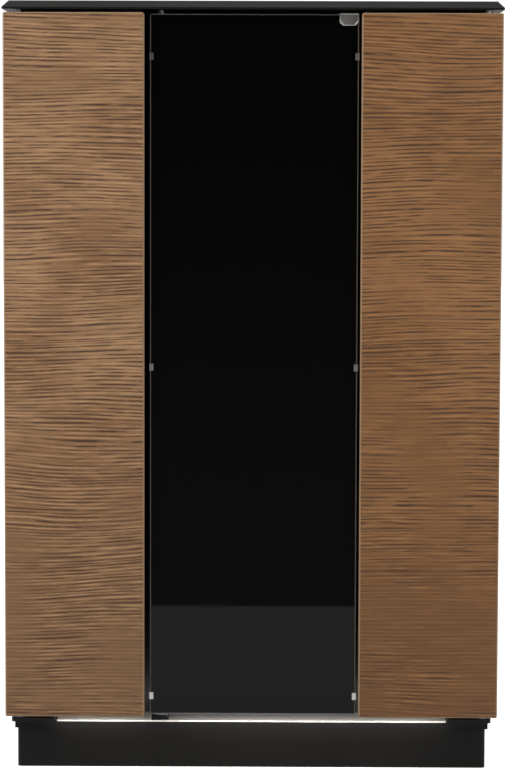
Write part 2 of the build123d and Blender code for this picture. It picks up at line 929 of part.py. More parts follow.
latch_rod_length = latch_length - 2 * latch_stroke
with BuildPart() as latch_plunger:
    with BuildSketch(facing_back(latch_head_front_y)):
        with Locations((-latch_x, latch_z)):
            Circle(latch_head_radius)
    extrude(amount=latch_head_length)
    with BuildSketch(facing_back(latch_head_front_y)):
        with Locations((-latch_x, latch_z)):
            Circle(latch_rod_radius)
    extrude(amount=latch_head_length + latch_rod_length)
latch_plunger.part.label = "latch_plunger"
export_step(latch_plunger.part, "parts/latch_plunger.step")

# Boiler body: a thick water jacket round the firebox and the ash compartment, open to the front
boiler_left_x = boiler_x - boiler_half
boiler_right_x = boiler_x + boiler_half
jacket_front_y = panel_back_y + jacket_front
fire_hinge_heights = (
    fire_door_low_z + fire_knuckle_length,
    fire_door_high_z - 2 * fire_knuckle_length,
)
baffle_back_y = fire_back_y - slide_reach - seat_gap
baffle_front_y = baffle_back_y - baffle_depth


def drawer_way():
    """The outline of the way that the ash drawer slides in."""
    rectangle_between(
        boiler_x - drawer_half - seat_gap,
        boiler_x + drawer_half + seat_gap,
        drawer_low_z - seat_gap,
        drawer_low_z + drawer_height + drawer_room,
    )


with BuildPart() as boiler_body:
    with BuildSketch(Plane.XY.offset(base_top_z)):
        rectangle_between(boiler_left_x, boiler_right_x, jacket_front_y, boiler_back_y)
    extrude(amount=boiler_top_z - base_top_z)
    with BuildSketch(Plane.XY.offset(fire_floor_z)):
        rectangle_between(boiler_x - fire_half, boiler_x + fire_half, jacket_front_y, fire_back_y)
    extrude(amount=fire_top_z - fire_floor_z, mode=Mode.SUBTRACT)
    with BuildSketch(facing_front(jacket_front_y)):
        drawer_way()
    extrude(amount=jacket_front - drawer_depth - drawer_room, mode=Mode.SUBTRACT)
    with BuildSketch(Plane.XY.offset(fire_floor_z)):
        with Locations((boiler_x, pot_y)):
            with GridLocations(ash_slot_pitch, 0, 2, 1):
                Rectangle(ash_slot_width, ash_slot_length)
    extrude(amount=drawer_low_z + drawer_height - fire_floor_z, mode=Mode.SUBTRACT)
    with BuildSketch(Plane.XY.offset(fire_top_z)):
        with Locations((boiler_x, tube_y)):
            with GridLocations(tube_pitch_x, tube_pitch_y, tube_columns, tube_rows):
                Circle(tube_radius)
        rectangle_between(
            boiler_x - chute_half,
            boiler_x + chute_half,
            auger_outlet_y - chute_half,
            fire_back_y,
        )
    extrude(amount=boiler_top_z - fire_top_z, mode=Mode.SUBTRACT)
    with BuildSketch(facing_back(fire_back_y)):
        with Locations((-boiler_x, igniter_z)):
            Circle(igniter_radius + seat_gap)
    extrude(amount=jacket_back, mode=Mode.SUBTRACT)
    for side in (-1, 1):
        wall_x = boiler_x + side * fire_half
        ledge_left, ledge_right = sorted((wall_x, wall_x - side * baffle_ledge))
        with BuildSketch(Plane.XY.offset(baffle_z)):
            rectangle_between(ledge_left, ledge_right, baffle_front_y, baffle_back_y)
        extrude(amount=-baffle_ledge)
boiler_body.part.label = "boiler_body"
export_step(boiler_body.part, "parts/boiler_body.step")

# Front plate of the boiler, welded to the water jacket: the mouth, the drawer's way and the hinge knuckles
with BuildPart() as boiler_front:
    with BuildSketch(Plane.XY.offset(base_top_z)):
        rectangle_between(boiler_left_x, boiler_right_x, panel_back_y, jacket_front_y)
    extrude(amount=boiler_top_z - base_top_z)
    with BuildSketch(facing_front(panel_back_y)):
        rectangle_between(
            boiler_x - fire_mouth_half, boiler_x + fire_mouth_half, fire_mouth_low_z, fire_mouth_high_z
        )
        drawer_way()
    extrude(amount=-jacket_front, mode=Mode.SUBTRACT)
    for hinge_z in fire_hinge_heights:
        with BuildSketch(Plane.XY.offset(hinge_z)):
            with Locations((fire_axis_x, fire_axis_y)):
                Circle(fire_knuckle_radius)
            rectangle_between(
                fire_axis_x - fire_knuckle_radius,
                fire_axis_x,
                fire_axis_y,
                panel_back_y,
            )
        extrude(amount=fire_knuckle_length)
        with BuildSketch(Plane.XY.offset(hinge_z)):
            with Locations((fire_axis_x, fire_axis_y)):
                Circle(fire_pin_radius + running_fit)
        extrude(amount=fire_knuckle_length, mode=Mode.SUBTRACT)
boiler_front.part.label = "boiler_front"
export_step(boiler_front.part, "parts/boiler_front.step")

# Heat exchanger: upright flue tubes in a water jacket, on top of the boiler body
with BuildPart() as heat_exchanger:
    with BuildSketch(Plane.XY.offset(boiler_top_z)):
        rectangle_between(
            boiler_x - exchanger_half, boiler_x + exchanger_half, panel_back_y, exchanger_back_y
        )
    extrude(amount=exchanger_top_z - boiler_top_z)
    with BuildSketch(Plane.XY.offset(boiler_top_z)):
        with Locations((boiler_x, tube_y)):
            with GridLocations(tube_pitch_x, tube_pitch_y, tube_columns, tube_rows):
                Circle(tube_radius)
    extrude(amount=exchanger_top_z - boiler_top_z - exchanger_wall, mode=Mode.SUBTRACT)
heat_exchanger.part.label = "heat_exchanger"
export_step(heat_exchanger.part, "parts/heat_exchanger.step")

# Burn pot: a tapered cast cup with a grid of air holes in its floor
with BuildPart() as burn_pot:
    with BuildSketch(Plane.XY.offset(fire_floor_z)):
        with Locations((boiler_x, pot_y)):
            Rectangle(pot_bottom_side, pot_bottom_side)
    with BuildSketch(Plane.XY.offset(fire_floor_z + pot_height)):
        with Locations((boiler_x, pot_y)):
            Rectangle(pot_top_side, pot_top_side)
    loft(ruled=True)
    with BuildSketch(Plane.XY.offset(fire_floor_z + pot_floor)):
        with Locations((boiler_x, pot_y)):
            Rectangle(pot_bottom_side - 2 * pot_wall, pot_bottom_side - 2 * pot_wall)
    with BuildSketch(Plane.XY.offset(fire_floor_z + pot_height)):
        with Locations((boiler_x, pot_y)):
            Rectangle(pot_top_side - 2 * pot_wall, pot_top_side - 2 * pot_wall)
    loft(ruled=True, mode=Mode.SUBTRACT)
    with BuildSketch(Plane.XY.offset(fire_floor_z)):
        with Locations((boiler_x, pot_y)):
            with GridLocations(pot_hole_pitch, pot_hole_pitch, pot_hole_count, pot_hole_count):
                Circle(pot_hole_radius)
    extrude(amount=pot_floor, mode=Mode.SUBTRACT)
burn_pot.part.label = "burn_pot"
export_step(burn_pot.part, "parts/burn_pot.step")

with BuildPart() as flame_baffle:
    with BuildSketch(Plane.XY.offset(baffle_z)):
        rectangle_between(
            boiler_x - fire_half + seat_gap,
            boiler_x + fire_half - seat_gap,
            baffle_front_y,
            baffle_back_y,
        )
    extrude(amount=baffle_thick)
flame_baffle.part.label = "flame_baffle"
export_step(flame_baffle.part, "parts/flame_baffle.step")

# Pellet slide: a rimmed sloping sheet on the back wall that throws the pellets into the pot
slide_top_z = fire_top_z - slide_rim
with BuildPart() as pellet_slide:
    with BuildSketch(facing_right(boiler_x - slide_half)):
        with BuildLine():
            Polyline(
                (fire_back_y, slide_top_z),
                (fire_back_y - slide_reach, slide_top_z - slide_drop),
                (fire_back_y - slide_reach, slide_top_z - slide_drop - slide_sheet),
                (fire_back_y, slide_top_z - slide_sheet),
                close=True,
            )
        make_face()
    extrude(amount=2 * slide_half)
    for rim_x in (boiler_x - slide_half, boiler_x + slide_half - slide_sheet):
        with BuildSketch(facing_right(rim_x)):
            with BuildLine():
                Polyline(
                    (fire_back_y, slide_top_z + slide_rim - seat_gap),
                    (fire_back_y - slide_reach, slide_top_z - slide_drop + slide_rim),
                    (fire_back_y - slide_reach, slide_top_z - slide_drop - slide_sheet),
                    (fire_back_y, slide_top_z - slide_sheet),
                    close=True,
                )
            make_face()
        extrude(amount=slide_sheet)
pellet_slide.part.label = "pellet_slide"
export_step(pellet_slide.part, "parts/pellet_slide.step")

# Igniter: a rod through the back wall that ends just short of the pot
pot_back_y = pot_y + pot_top_side / 2
with BuildPart() as igniter:
    with BuildSketch(facing_front(boiler_back_y)):
        with Locations((boiler_x, igniter_z)):
            Circle(igniter_radius)
    extrude(amount=boiler_back_y - pot_back_y - seat_gap)
    with BuildSketch(facing_back(boiler_back_y)):
        with Locations((-boiler_x, igniter_z)):
            Circle(igniter_flange_radius)
    extrude(amount=igniter_flange_thick)
igniter.part.label = "igniter"
export_step(igniter.part, "parts/igniter.step")

# Firebox door: a cast frame with a stepped window and two hinge eyes
fire_window_left_x = boiler_x - fire_window_half
fire_window_right_x = boiler_x + fire_window_half
with BuildPart() as firebox_door:
    with BuildSketch(facing_front(fire_door_back_y)):
        rectangle_between(fire_door_left_x, fire_door_right_x, fire_door_low_z, fire_door_high_z)
    extrude(amount=fire_door_thick)
    fillet(firebox_door.edges().filter_by(Axis.Y), radius=fire_door_corner)
    chamfer(firebox_door.faces().sort_by(Axis.Y)[0].edges(), length=fire_door_bevel)
    with BuildSketch(facing_front(fire_door_back_y)):
        rectangle_between(
            fire_window_left_x, fire_window_right_x, fire_window_low_z, fire_window_high_z
        )
    extrude(amount=fire_door_thick, mode=Mode.SUBTRACT)
    with BuildSketch(facing_front(fire_door_back_y)):
        rectangle_between(
            fire_window_left_x - fire_glass_lap,
            fire_window_right_x + fire_glass_lap,
            fire_window_low_z - fire_glass_lap,
            fire_window_high_z + fire_glass_lap,
        )
    extrude(amount=fire_glass_thick, mode=Mode.SUBTRACT)
    for hinge_z in fire_hinge_heights:
        eye_z = hinge_z + fire_knuckle_length + seat_gap
        with BuildSketch(Plane.XY.offset(eye_z)):
            with Locations((fire_axis_x, fire_axis_y)):
                Circle(fire_knuckle_radius)
            rectangle_between(
                fire_axis_x,
                fire_door_left_x + fire_door_corner,
                fire_axis_y,
                fire_axis_y + fire_knuckle_radius,
            )
        extrude(amount=fire_knuckle_length)
        with BuildSketch(Plane.XY.offset(eye_z)):
            with Locations((fire_axis_x, fire_axis_y)):
                Circle(fire_pin_radius)
        extrude(amount=fire_knuckle_length, mode=Mode.SUBTRACT)
    with BuildSketch(facing_front(fire_door_back_y)):
        with Locations((handle_x, handle_z)):
            Circle(fire_pin_radius + running_fit)
    extrude(amount=fire_door_thick, mode=Mode.SUBTRACT)
firebox_door.part.label = "firebox_door"
export_step(firebox_door.part, "parts/firebox_door.step")

with BuildPart() as firebox_glass:
    with BuildSketch(facing_front(fire_door_back_y)):
        rectangle_between(
            fire_window_left_x - fire_glass_lap + seat_gap,
            fire_window_right_x + fire_glass_lap - seat_gap,
            fire_window_low_z - fire_glass_lap + seat_gap,
            fire_window_high_z + fire_glass_lap - seat_gap,
        )
    extrude(amount=fire_glass_thick)
firebox_glass.part.label = "firebox_glass"
export_step(firebox_glass.part, "parts/firebox_glass.step")

# Rope gasket pressed between the firebox door and the boiler's face, round the mouth
with BuildPart() as firebox_gasket:
    with BuildSketch(facing_front(panel_back_y)):
        rectangle_between(
            boiler_x - fire_mouth_half - gasket_width,
            boiler_x + fire_mouth_half + gasket_width,
            fire_mouth_low_z - gasket_width,
            fire_mouth_high_z + gasket_width,
        )
        rectangle_between(
            boiler_x - fire_mouth_half,
            boiler_x + fire_mouth_half,
            fire_mouth_low_z,
            fire_mouth_high_z,
            Mode.SUBTRACT,
        )
    extrude(amount=gasket_thick)
firebox_gasket.part.label = "firebox_gasket"
export_step(firebox_gasket.part, "parts/firebox_gasket.step")

with BuildPart() as firebox_hinge_pins:
    for hinge_z in fire_hinge_heights:
        with BuildSketch(Plane.XY.offset(hinge_z)):
            with Locations((fire_axis_x, fire_axis_y)):
                Circle(fire_pin_radius)
        extrude(amount=2 * fire_knuckle_length + seat_gap)
firebox_hinge_pins.part.label = "firebox_hinge_pins"
export_step(firebox_hinge_pins.part, "parts/firebox_hinge_pins.step")

# Handle of the firebox door: a spindle, a boss and a hanging grip
handle_front_y = fire_door_front_y - seat_gap
with BuildPart() as firebox_handle:
    with BuildSketch(facing_front(handle_front_y)):
        with Locations((handle_x, handle_z)):
            Circle(handle_boss_radius)
    extrude(amount=handle_boss_reach)
    with BuildSketch(facing_front(fire_door_back_y)):
        with Locations((handle_x, handle_z)):
            Circle(fire_pin_radius)
    extrude(amount=fire_door_thick + seat_gap)
    with BuildSketch(facing_front(handle_front_y - handle_boss_reach)):
        with Locations((handle_x, handle_z - handle_grip_length / 2)):
            SlotOverall(handle_grip_length + 2 * handle_grip_radius, 2 * handle_grip_radius, rotation=90)
    extrude(amount=handle_grip_radius)
    fillet(firebox_handle.faces().sort_by(Axis.Y)[0].edges(), radius=handle_grip_round)
firebox_handle.part.label = "firebox_handle"
export_step(firebox_handle.part, "parts/firebox_handle.step")

# Ash drawer: an open tray behind a flat front with a turned-out lip
drawer_front_y = panel_front_y - seat_gap - drawer_front_thick
with BuildPart() as ash_drawer:
    with BuildSketch(Plane.XY.offset(drawer_low_z)):
        rectangle_between(
            boiler_x - drawer_half, boiler_x + drawer_half, panel_front_y - seat_gap, drawer_back_y
        )
    extrude(amount=drawer_height)
    with BuildSketch(Plane.XY.offset(drawer_low_z + drawer_sheet)):
        rectangle_between(
            boiler_x - drawer_half + drawer_sheet,
            boiler_x + drawer_half - drawer_sheet,
            panel_front_y - seat_gap,
            drawer_back_y - drawer_sheet,
        )
    extrude(amount=drawer_height - drawer_sheet, mode=Mode.SUBTRACT)
    with BuildSketch(facing_front(panel_front_y - seat_gap)):
        rectangle_between(
            boiler_x - drawer_front_half,
            boiler_x + drawer_front_half,
            drawer_low_z - drawer_front_margin,
            drawer_low_z + drawer_height + drawer_front_margin,
        )
    extrude(amount=drawer_front_thick)
    with BuildSketch(facing_front(drawer_front_y)):
        rectangle_between(
            boiler_x - drawer_lip_half,
            boiler_x + drawer_lip_half,
            drawer_low_z + drawer_height,
            drawer_low_z + drawer_height + drawer_lip_thick,
        )
    extrude(amount=drawer_lip_reach)
ash_drawer.part.label = "ash_drawer"
export_step(ash_drawer.part, "parts/ash_drawer.step")

# Cleaning lever of the flue tubes: a slider in an upright C-shaped guide, with a stem and a knob
guide_front_y = panel_back_y - guide_depth
slider_width = guide_width - 2 * guide_wall - 2 * running_fit
slider_depth = guide_depth - guide_wall - 2 * running_fit
slider_height = guide_length - lever_stroke - guide_wall
with BuildPart() as cleaning_guide:
    with BuildSketch(Plane.XY.offset(guide_z)):
        rectangle_between(
            boiler_x - guide_width / 2, boiler_x + guide_width / 2, guide_front_y, panel_back_y
        )
        rectangle_between(
            boiler_x - guide_width / 2 + guide_wall,
            boiler_x + guide_width / 2 - guide_wall,
            guide_front_y + guide_wall,
            panel_back_y,
            Mode.SUBTRACT,
        )
        rectangle_between(
            boiler_x - guide_slot / 2,
            boiler_x + guide_slot / 2,
            guide_front_y,
            panel_back_y,
            Mode.SUBTRACT,
        )
    extrude(amount=guide_length)
    with BuildSketch(Plane.XY.offset(guide_z)):
        rectangle_between(
            boiler_x - guide_width / 2, boiler_x + guide_width / 2, guide_front_y, panel_back_y
        )
    extrude(amount=guide_wall)
cleaning_guide.part.label = "cleaning_guide"
export_step(cleaning_guide.part, "parts/cleaning_guide.step")

lever_low_z = guide_z + guide_wall + running_fit
with BuildPart() as cleaning_lever:
    with BuildSketch(Plane.XY.offset(lever_low_z)):
        with Locations((boiler_x, panel_back_y - running_fit - slider_depth / 2)):
            Rectangle(slider_width, slider_depth)
    extrude(amount=slider_height - 2 * running_fit)
    with BuildSketch(facing_front(panel_back_y - running_fit - slider_depth)):
        with Locations((boiler_x, lever_low_z + slider_height / 2)):
            Circle(lever_stem_radius)
    extrude(amount=guide_wall + lever_reach)
    with Locations((boiler_x, guide_front_y - lever_reach, lever_low_z + slider_height / 2)):
        Sphere(lever_knob_radius)
cleaning_lever.part.label = "cleaning_lever"
export_step(cleaning_lever.part, "parts/cleaning_lever.step")


def hopper_form(inset):
    """The hopper's box and funnel, drawn in by the given inset on every side."""
    with BuildPart() as form:
        with BuildSketch(Plane.XY.offset(hopper_bend_z)):
            rectangle_between(
                -hopper_half + inset, hopper_half - inset, hopper_front_y + inset, hopper_back_y - inset
            )
        extrude(amount=plate_under_z - hopper_bend_z)
        with BuildSketch(Plane.XY.offset(hopper_bend_z)):
            rectangle_between(
                -hopper_half + inset, hopper_half - inset, hopper_front_y + inset, hopper_back_y - inset
            )
        with BuildSketch(Plane.XY.offset(neck_z)):
            with Locations((boiler_x, auger_inlet_y)):
                Rectangle(2 * (neck_half - inset), 2 * (neck_half - inset))
        loft(ruled=True)
    return form


# Hopper: thin sheet, open at the top and at its neck
hopper_outside = hopper_form(0)
hopper_inside = hopper_form(hopper_sheet)
with BuildPart() as hopper:
    add(hopper_outside.part)
    add(hopper_inside.part, mode=Mode.SUBTRACT)
hopper.part.label = "hopper"
export_step(hopper.part, "parts/hopper.step")

# Auger tube: the sloping tube with its inlet collar under the hopper and its drop chute to the firebox
auger_bore = auger_tube_radius - auger_tube_wall
with BuildPart() as auger_tube:
    with BuildSketch(auger_plane):
        Circle(auger_tube_radius)
    extrude(amount=auger_length)
    with BuildSketch(Plane.XY.offset(neck_z)):
        with Locations((boiler_x, auger_inlet_y)):
            Rectangle(2 * neck_half, 2 * neck_half)
    extrude(amount=auger_inlet_z - neck_z)
    with BuildSketch(Plane.XY.offset(boiler_top_z)):
        with Locations((boiler_x, auger_outlet_y)):
            Rectangle(2 * chute_half, 2 * chute_half)
    extrude(amount=auger_outlet_z - boiler_top_z)
    with BuildSketch(auger_plane.offset(auger_tube_wall)):
        Circle(auger_bore)
    extrude(amount=auger_length - 2 * auger_tube_wall, mode=Mode.SUBTRACT)
    with BuildSketch(auger_plane):
        Circle(auger_shaft_radius + running_fit)
    extrude(amount=auger_length, mode=Mode.SUBTRACT)
    with BuildSketch(Plane.XY.offset(neck_z)):
        with Locations((boiler_x, auger_inlet_y)):
            Rectangle(2 * (neck_half - hopper_sheet), 2 * (neck_half - hopper_sheet))
    extrude(amount=auger_inlet_z - neck_z, mode=Mode.SUBTRACT)
    with BuildSketch(Plane.XY.offset(boiler_top_z)):
        with Locations((boiler_x, auger_outlet_y)):
            Rectangle(2 * (chute_half - auger_tube_wall), 2 * (chute_half - auger_tube_wall))
    extrude(amount=auger_outlet_z - boiler_top_z, mode=Mode.SUBTRACT)
auger_tube.part.label = "auger_tube"
export_step(auger_tube.part, "parts/auger_tube.step")

# Auger screw: a helical flight round its core, on a shaft through both end caps of the tube
flight_start = 2 * auger_tube_wall
flight_length = auger_length - auger_end_margin - chute_half - flight_start
flight_origin = auger_plane.offset(flight_start + auger_flight_thick).origin
with BuildPart() as auger_screw:
    with BuildSketch(auger_plane):
        Circle(auger_shaft_radius)
    extrude(amount=auger_length)
    with BuildSketch(auger_plane.offset(flight_start)):
        Circle(auger_core_radius)
    extrude(amount=auger_length - 2 * flight_start)
    with BuildLine() as flight_path:
        Helix(
            pitch=auger_pitch,
            height=flight_length,
            radius=(auger_flight_radius + auger_shaft_radius) / 2,
            center=tuple(flight_origin),
            direction=tuple(auger_plane.z_dir),
        )
    with BuildSketch(
        Plane(
            origin=flight_path.line @ 0,
            x_dir=flight_path.line @ 0 - flight_origin,
            z_dir=flight_path.line % 0,
        )
    ):
        Rectangle(auger_flight_radius - auger_shaft_radius, auger_flight_thick)
    sweep(path=flight_path.line, is_frenet=True)
auger_screw.part.label = "auger_screw"
export_step(auger_screw.part, "parts/auger_screw.step")

# Gearmotor on the lower end of the auger tube: a gearbox and a motor across it
with BuildPart() as auger_gearmotor:
    with BuildSketch(auger_plane):
        RectangleRounded(gearbox_width, gearbox_width, gearbox_round)
    extrude(amount=-gearbox_length)
    with BuildSketch(facing_right(boiler_x + gearbox_width / 2)):
        with Locations(
            (
                auger_low_y + gearbox_length / 2 * sin(radians(auger_tilt)),
                auger_low_z - gearbox_length / 2 * cos(radians(auger_tilt)),
            )
        ):
            Circle(motor_radius)
    extrude(amount=motor_length)
    fillet(auger_gearmotor.faces().sort_by(Axis.X)[-1].edges(), radius=motor_round)
auger_gearmotor.part.label = "auger_gearmotor"
export_step(auger_gearmotor.part, "parts/auger_gearmotor.step")

# Smoke fan: a volute with an upright outlet box, hollow, open to the boiler and to the flue
fan_back_y = boiler_back_y + fan_depth
with BuildPart() as fan_housing:
    with BuildSketch(facing_back(boiler_back_y)):
        with Locations((-fan_x, fan_z)):
            Circle(fan_radius)
        rectangle_between(-flue_x - flue_box_half, -flue_x + flue_box_half, fan_z, flue_z + flue_box_half)
    extrude(amount=fan_depth)
    with BuildSketch(facing_back(boiler_back_y + fan_wall)):
        with Locations((-fan_x, fan_z)):
            Circle(fan_radius - fan_wall)
        rectangle_between(
            -flue_x - flue_box_half + fan_wall,
            -flue_x + flue_box_half - fan_wall,
            fan_z,
            flue_z + flue_box_half - fan_wall,
        )
    extrude(amount=fan_depth - 2 * fan_wall, mode=Mode.SUBTRACT)
    with BuildSketch(facing_back(boiler_back_y)):
        with Locations((-fan_x, fan_z)):
            Circle(fan_inlet_radius)
    extrude(amount=fan_wall, mode=Mode.SUBTRACT)
    with BuildSketch(facing_back(fan_back_y)):
        with Locations((-fan_x, fan_z)):
            Circle(fan_shaft_radius + running_fit)
        with Locations((-flue_x, flue_z)):
            Circle(flue_radius - flue_wall)
    extrude(amount=-fan_wall, mode=Mode.SUBTRACT)
fan_housing.part.label = "fan_housing"
export_step(fan_housing.part, "parts/fan_housing.step")

# Impeller: a back disc with radial blades, its shaft reaching into the motor
impeller_back_y = fan_back_y - fan_wall - impeller_gap
impeller_blade_depth = fan_depth - 2 * fan_wall - 2 * impeller_gap - impeller_disc_thick
blade_length = impeller_radius - impeller_hub_radius
blade_centre = (impeller_radius + impeller_hub_radius - impeller_blade_inset) / 2
with BuildPart() as fan_impeller:
    with BuildSketch(facing_front(impeller_back_y)):
        with Locations((fan_x, fan_z)):
            Circle(impeller_radius)
    extrude(amount=impeller_disc_thick)
    with BuildSketch(facing_front(impeller_back_y)):
        with Locations((fan_x, fan_z)):
            Circle(impeller_hub_radius)
            with PolarLocations(blade_centre, impeller_blades):
                Rectangle(blade_length, impeller_blade_thick)
    extrude(amount=impeller_disc_thick + impeller_blade_depth)
    with BuildSketch(facing_back(impeller_back_y)):
        with Locations((-fan_x, fan_z)):
            Circle(fan_shaft_radius)
    extrude(amount=impeller_gap + fan_wall)
fan_impeller.part.label = "fan_impeller"
export_step(fan_impeller.part, "parts/fan_impeller.step")

with BuildPart() as fan_motor:
    with BuildSketch(facing_back(fan_back_y)):
        with Locations((-fan_x, fan_z)):
            Circle(fan_motor_radius)
    extrude(amount=fan_motor_length)
    fillet(fan_motor.faces().sort_by(Axis.Y)[-1].edges(), radius=motor_round)
fan_motor.part.label = "fan_motor"
export_step(fan_motor.part, "parts/fan_motor.step")


def round_tube(x, z, radius, wall, start_y, flange_radius):
    """A straight tube to the back, with a flange where it starts and a wider spigot behind the casing."""
    with BuildPart() as tube:
        with BuildSketch(facing_back(start_y)):
            with Locations((-x, z)):
                Circle(radius - spigot_step)
        extrude(amount=casing_back_y - start_y)
        with BuildSketch(facing_back(casing_back_y)):
            with Locations((-x, z)):
                Circle(radius)
        extrude(amount=stub_reach)
        with BuildSketch(facing_back(start_y)):
            with Locations((-x, z)):
                Circle(flange_radius)
        extrude(amount=flue_flange_thick)
        with BuildSketch(facing_back(start_y)):
            with Locations((-x, z)):
                Circle(radius - wall)
        extrude(amount=back_y - start_y, mode=Mode.SUBTRACT)
    return tube


flue_pipe = round_tube(flue_x, flue_z, flue_radius, flue_wall, fan_back_y, flue_flange_radius)
flue_pipe.part.label = "flue_pipe"
export_step(flue_pipe.part, "parts/flue_pipe.step")

air_inlet_pipe = round_tube(
    air_inlet_x,
    air_inlet_z,
    air_inlet_radius,
    air_inlet_wall,
    boiler_back_y,
    air_inlet_radius + flue_flange_thick,
)
air_inlet_pipe.part.label = "air_inlet_pipe"
export_step(air_inlet_pipe.part, "parts/air_inlet_pipe.step")

# Supply pipe: straight from the boiler's back wall to its threaded stub
with BuildPart() as supply_pipe:
    with BuildSketch(facing_back(boiler_back_y)):
        with Locations((-supply_x, supply_z)):
            Circle(pipe_radius)
    extrude(amount=back_y - boiler_back_y)
    with BuildSketch(facing_front(back_y)):
        with Locations((supply_x, supply_z)):
            Circle(thread_radius)
    extrude(amount=thread_length)
    with BuildSketch(facing_back(boiler_back_y)):
        with Locations((-supply_x, supply_z)):
            Circle(pipe_radius - pipe_wall)
    extrude(amount=back_y - boiler_back_y, mode=Mode.SUBTRACT)
supply_pipe.part.label = "supply_pipe"
export_step(supply_pipe.part, "parts/supply_pipe.step")

# Circulation pump: a volute with ports in line, a union nut on each, and its motor beside it
with BuildPart() as circulation_pump:
    with BuildSketch(facing_front(pump_y + pump_half)):
        with Locations((return_x, return_z)):
            Circle(pump_port_radius)
    extrude(amount=2 * pump_half)
    for nut_y in (pump_y - pump_half + pump_nut_length, pump_y + pump_half):
        with BuildSketch(facing_front(nut_y)):
            with Locations((return_x, return_z)):
                RegularPolygon(pump_nut_radius, 6)
        extrude(amount=pump_nut_length)
    with BuildSketch(facing_right(return_x - pump_volute_length / 2)):
        with Locations((pump_y, return_z)):
            Circle(pump_volute_radius)
    extrude(amount=pump_volute_length)
    with BuildSketch(facing_right(return_x - pump_volute_length / 2)):
        with Locations((pump_y, return_z)):
            Circle(pump_motor_radius)
    extrude(amount=-pump_motor_length)
    fillet(circulation_pump.faces().sort_by(Axis.X)[0].edges(), radius=motor_round)
circulation_pump.part.label = "circulation_pump"
export_step(circulation_pump.part, "parts/circulation_pump.step")

# Return pipe: from its threaded stub to the pump, and from the pump round a bend into the boiler
with BuildPart() as return_pipe:
    with BuildSketch(facing_front(back_y)):
        with Locations((return_x, return_z)):
            Circle(pipe_radius)
    extrude(amount=back_y - pump_y - pump_half)
    with BuildSketch(facing_front(back_y)):
        with Locations((return_x, return_z)):
            Circle(thread_radius)
    extrude(amount=thread_length)
    with BuildSketch(facing_front(back_y)):
        with Locations((return_x, return_z)):
            Circle(pipe_radius - pipe_wall)
    extrude(amount=back_y - pump_y - pump_half, mode=Mode.SUBTRACT)
    with BuildLine() as bend_path:
        FilletPolyline(
            (return_x, pump_y - pump_half, return_z),
            (return_x, return_entry_y, return_z),
            (boiler_left_x, return_entry_y, return_z),
            radius=return_bend,
        )
    with BuildSketch(Plane(origin=bend_path.line @ 0, z_dir=bend_path.line % 0)):
        Circle(pipe_radius)
    sweep(path=bend_path.line)
return_pipe.part.label = "return_pipe"
export_step(return_pipe.part, "parts/return_pipe.step")

# Expansion vessel: a domed cylinder with a lug on the side sheet and a pipe down to the return
with BuildPart() as expansion_vessel:
    with BuildSketch(Plane.XY.offset(vessel_low_z)):
        with Locations((return_x, vessel_y)):
            Circle(vessel_radius)
    extrude(amount=vessel_high_z - vessel_low_z)
    fillet(expansion_vessel.edges().filter_by(GeomType.CIRCLE), radius=vessel_dome)
    with BuildSketch(facing_right(-casing_inner_x)):
        with Locations((vessel_y, (vessel_low_z + vessel_high_z) / 2)):
            Rectangle(vessel_lug_depth, vessel_lug_height)
    extrude(amount=casing_inner_x + return_x - vessel_radius / 2)
    with BuildSketch(Plane.XY.offset(vessel_low_z + vessel_dome)):
        with Locations((return_x, vessel_y)):
            Circle(vessel_pipe_radius)
    extrude(amount=return_z + pipe_radius - vessel_low_z - vessel_dome)
expansion_vessel.part.label = "expansion_vessel"
export_step(expansion_vessel.part, "parts/expansion_vessel.step")

# Safety valve on the supply pipe
with BuildPart() as safety_valve:
    with BuildSketch(Plane.XY.offset(supply_z + pipe_radius)):
        with Locations((supply_x, valve_y)):
            RegularPolygon(valve_body_radius, 6)
    extrude(amount=valve_body_height)
    with BuildSketch(Plane.XY.offset(supply_z + pipe_radius + valve_body_height)):
        with Locations((supply_x, valve_y)):
            Circle(valve_cap_radius)
    extrude(amount=valve_cap_height, taper=valve_cap_taper)
safety_valve.part.label = "safety_valve"
export_step(safety_valve.part, "parts/safety_valve.step")

# Pressure gauge in the front panel, above the left service window
with BuildPart() as pressure_gauge:
    with BuildSketch(facing_front(panel_front_y)):
        with Locations((gauge_x, gauge_z)):
            Circle(gauge_radius + gauge_rim)
    extrude(amount=gauge_rim)
    with BuildSketch(facing_back(panel_front_y)):
        with Locations((-gauge_x, gauge_z)):
            Circle(gauge_radius - running_fit)
    extrude(amount=gauge_depth)
    with BuildSketch(facing_front(panel_front_y - gauge_rim)):
        with Locations((gauge_x, gauge_z)):
            Circle(gauge_radius)
    extrude(amount=-gauge_face_depth, mode=Mode.SUBTRACT)
pressure_gauge.part.label = "pressure_gauge"
export_step(pressure_gauge.part, "parts/pressure_gauge.step")

# Drain cock on the boiler's left side, with a quarter-turn handle on top
drain_x = boiler_left_x - drain_length / 2
with BuildPart() as drain_cock:
    with BuildSketch(facing_right(boiler_left_x)):
        with Locations((drain_y, drain_z)):
            Circle(drain_radius)
    extrude(amount=-drain_length)
    with BuildSketch(Plane.XY.offset(drain_z)):
        with Locations((drain_x, drain_y)):
            Circle(drain_stem_radius)
    extrude(amount=drain_stem_height)
drain_cock.part.label = "drain_cock"
export_step(drain_cock.part, "parts/drain_cock.step")

with BuildPart() as drain_handle:
    with BuildSketch(Plane.XY.offset(drain_z + drain_radius + seat_gap)):
        with Locations((drain_x - drain_handle_length / 2, drain_y)):
            SlotCenterToCenter(drain_handle_length, drain_handle_width)
        with Locations((drain_x, drain_y)):
            Circle(drain_stem_radius + running_fit, mode=Mode.SUBTRACT)
    extrude(amount=drain_handle_thick)
drain_handle.part.label = "drain_handle"
export_step(drain_handle.part, "parts/drain_handle.step")

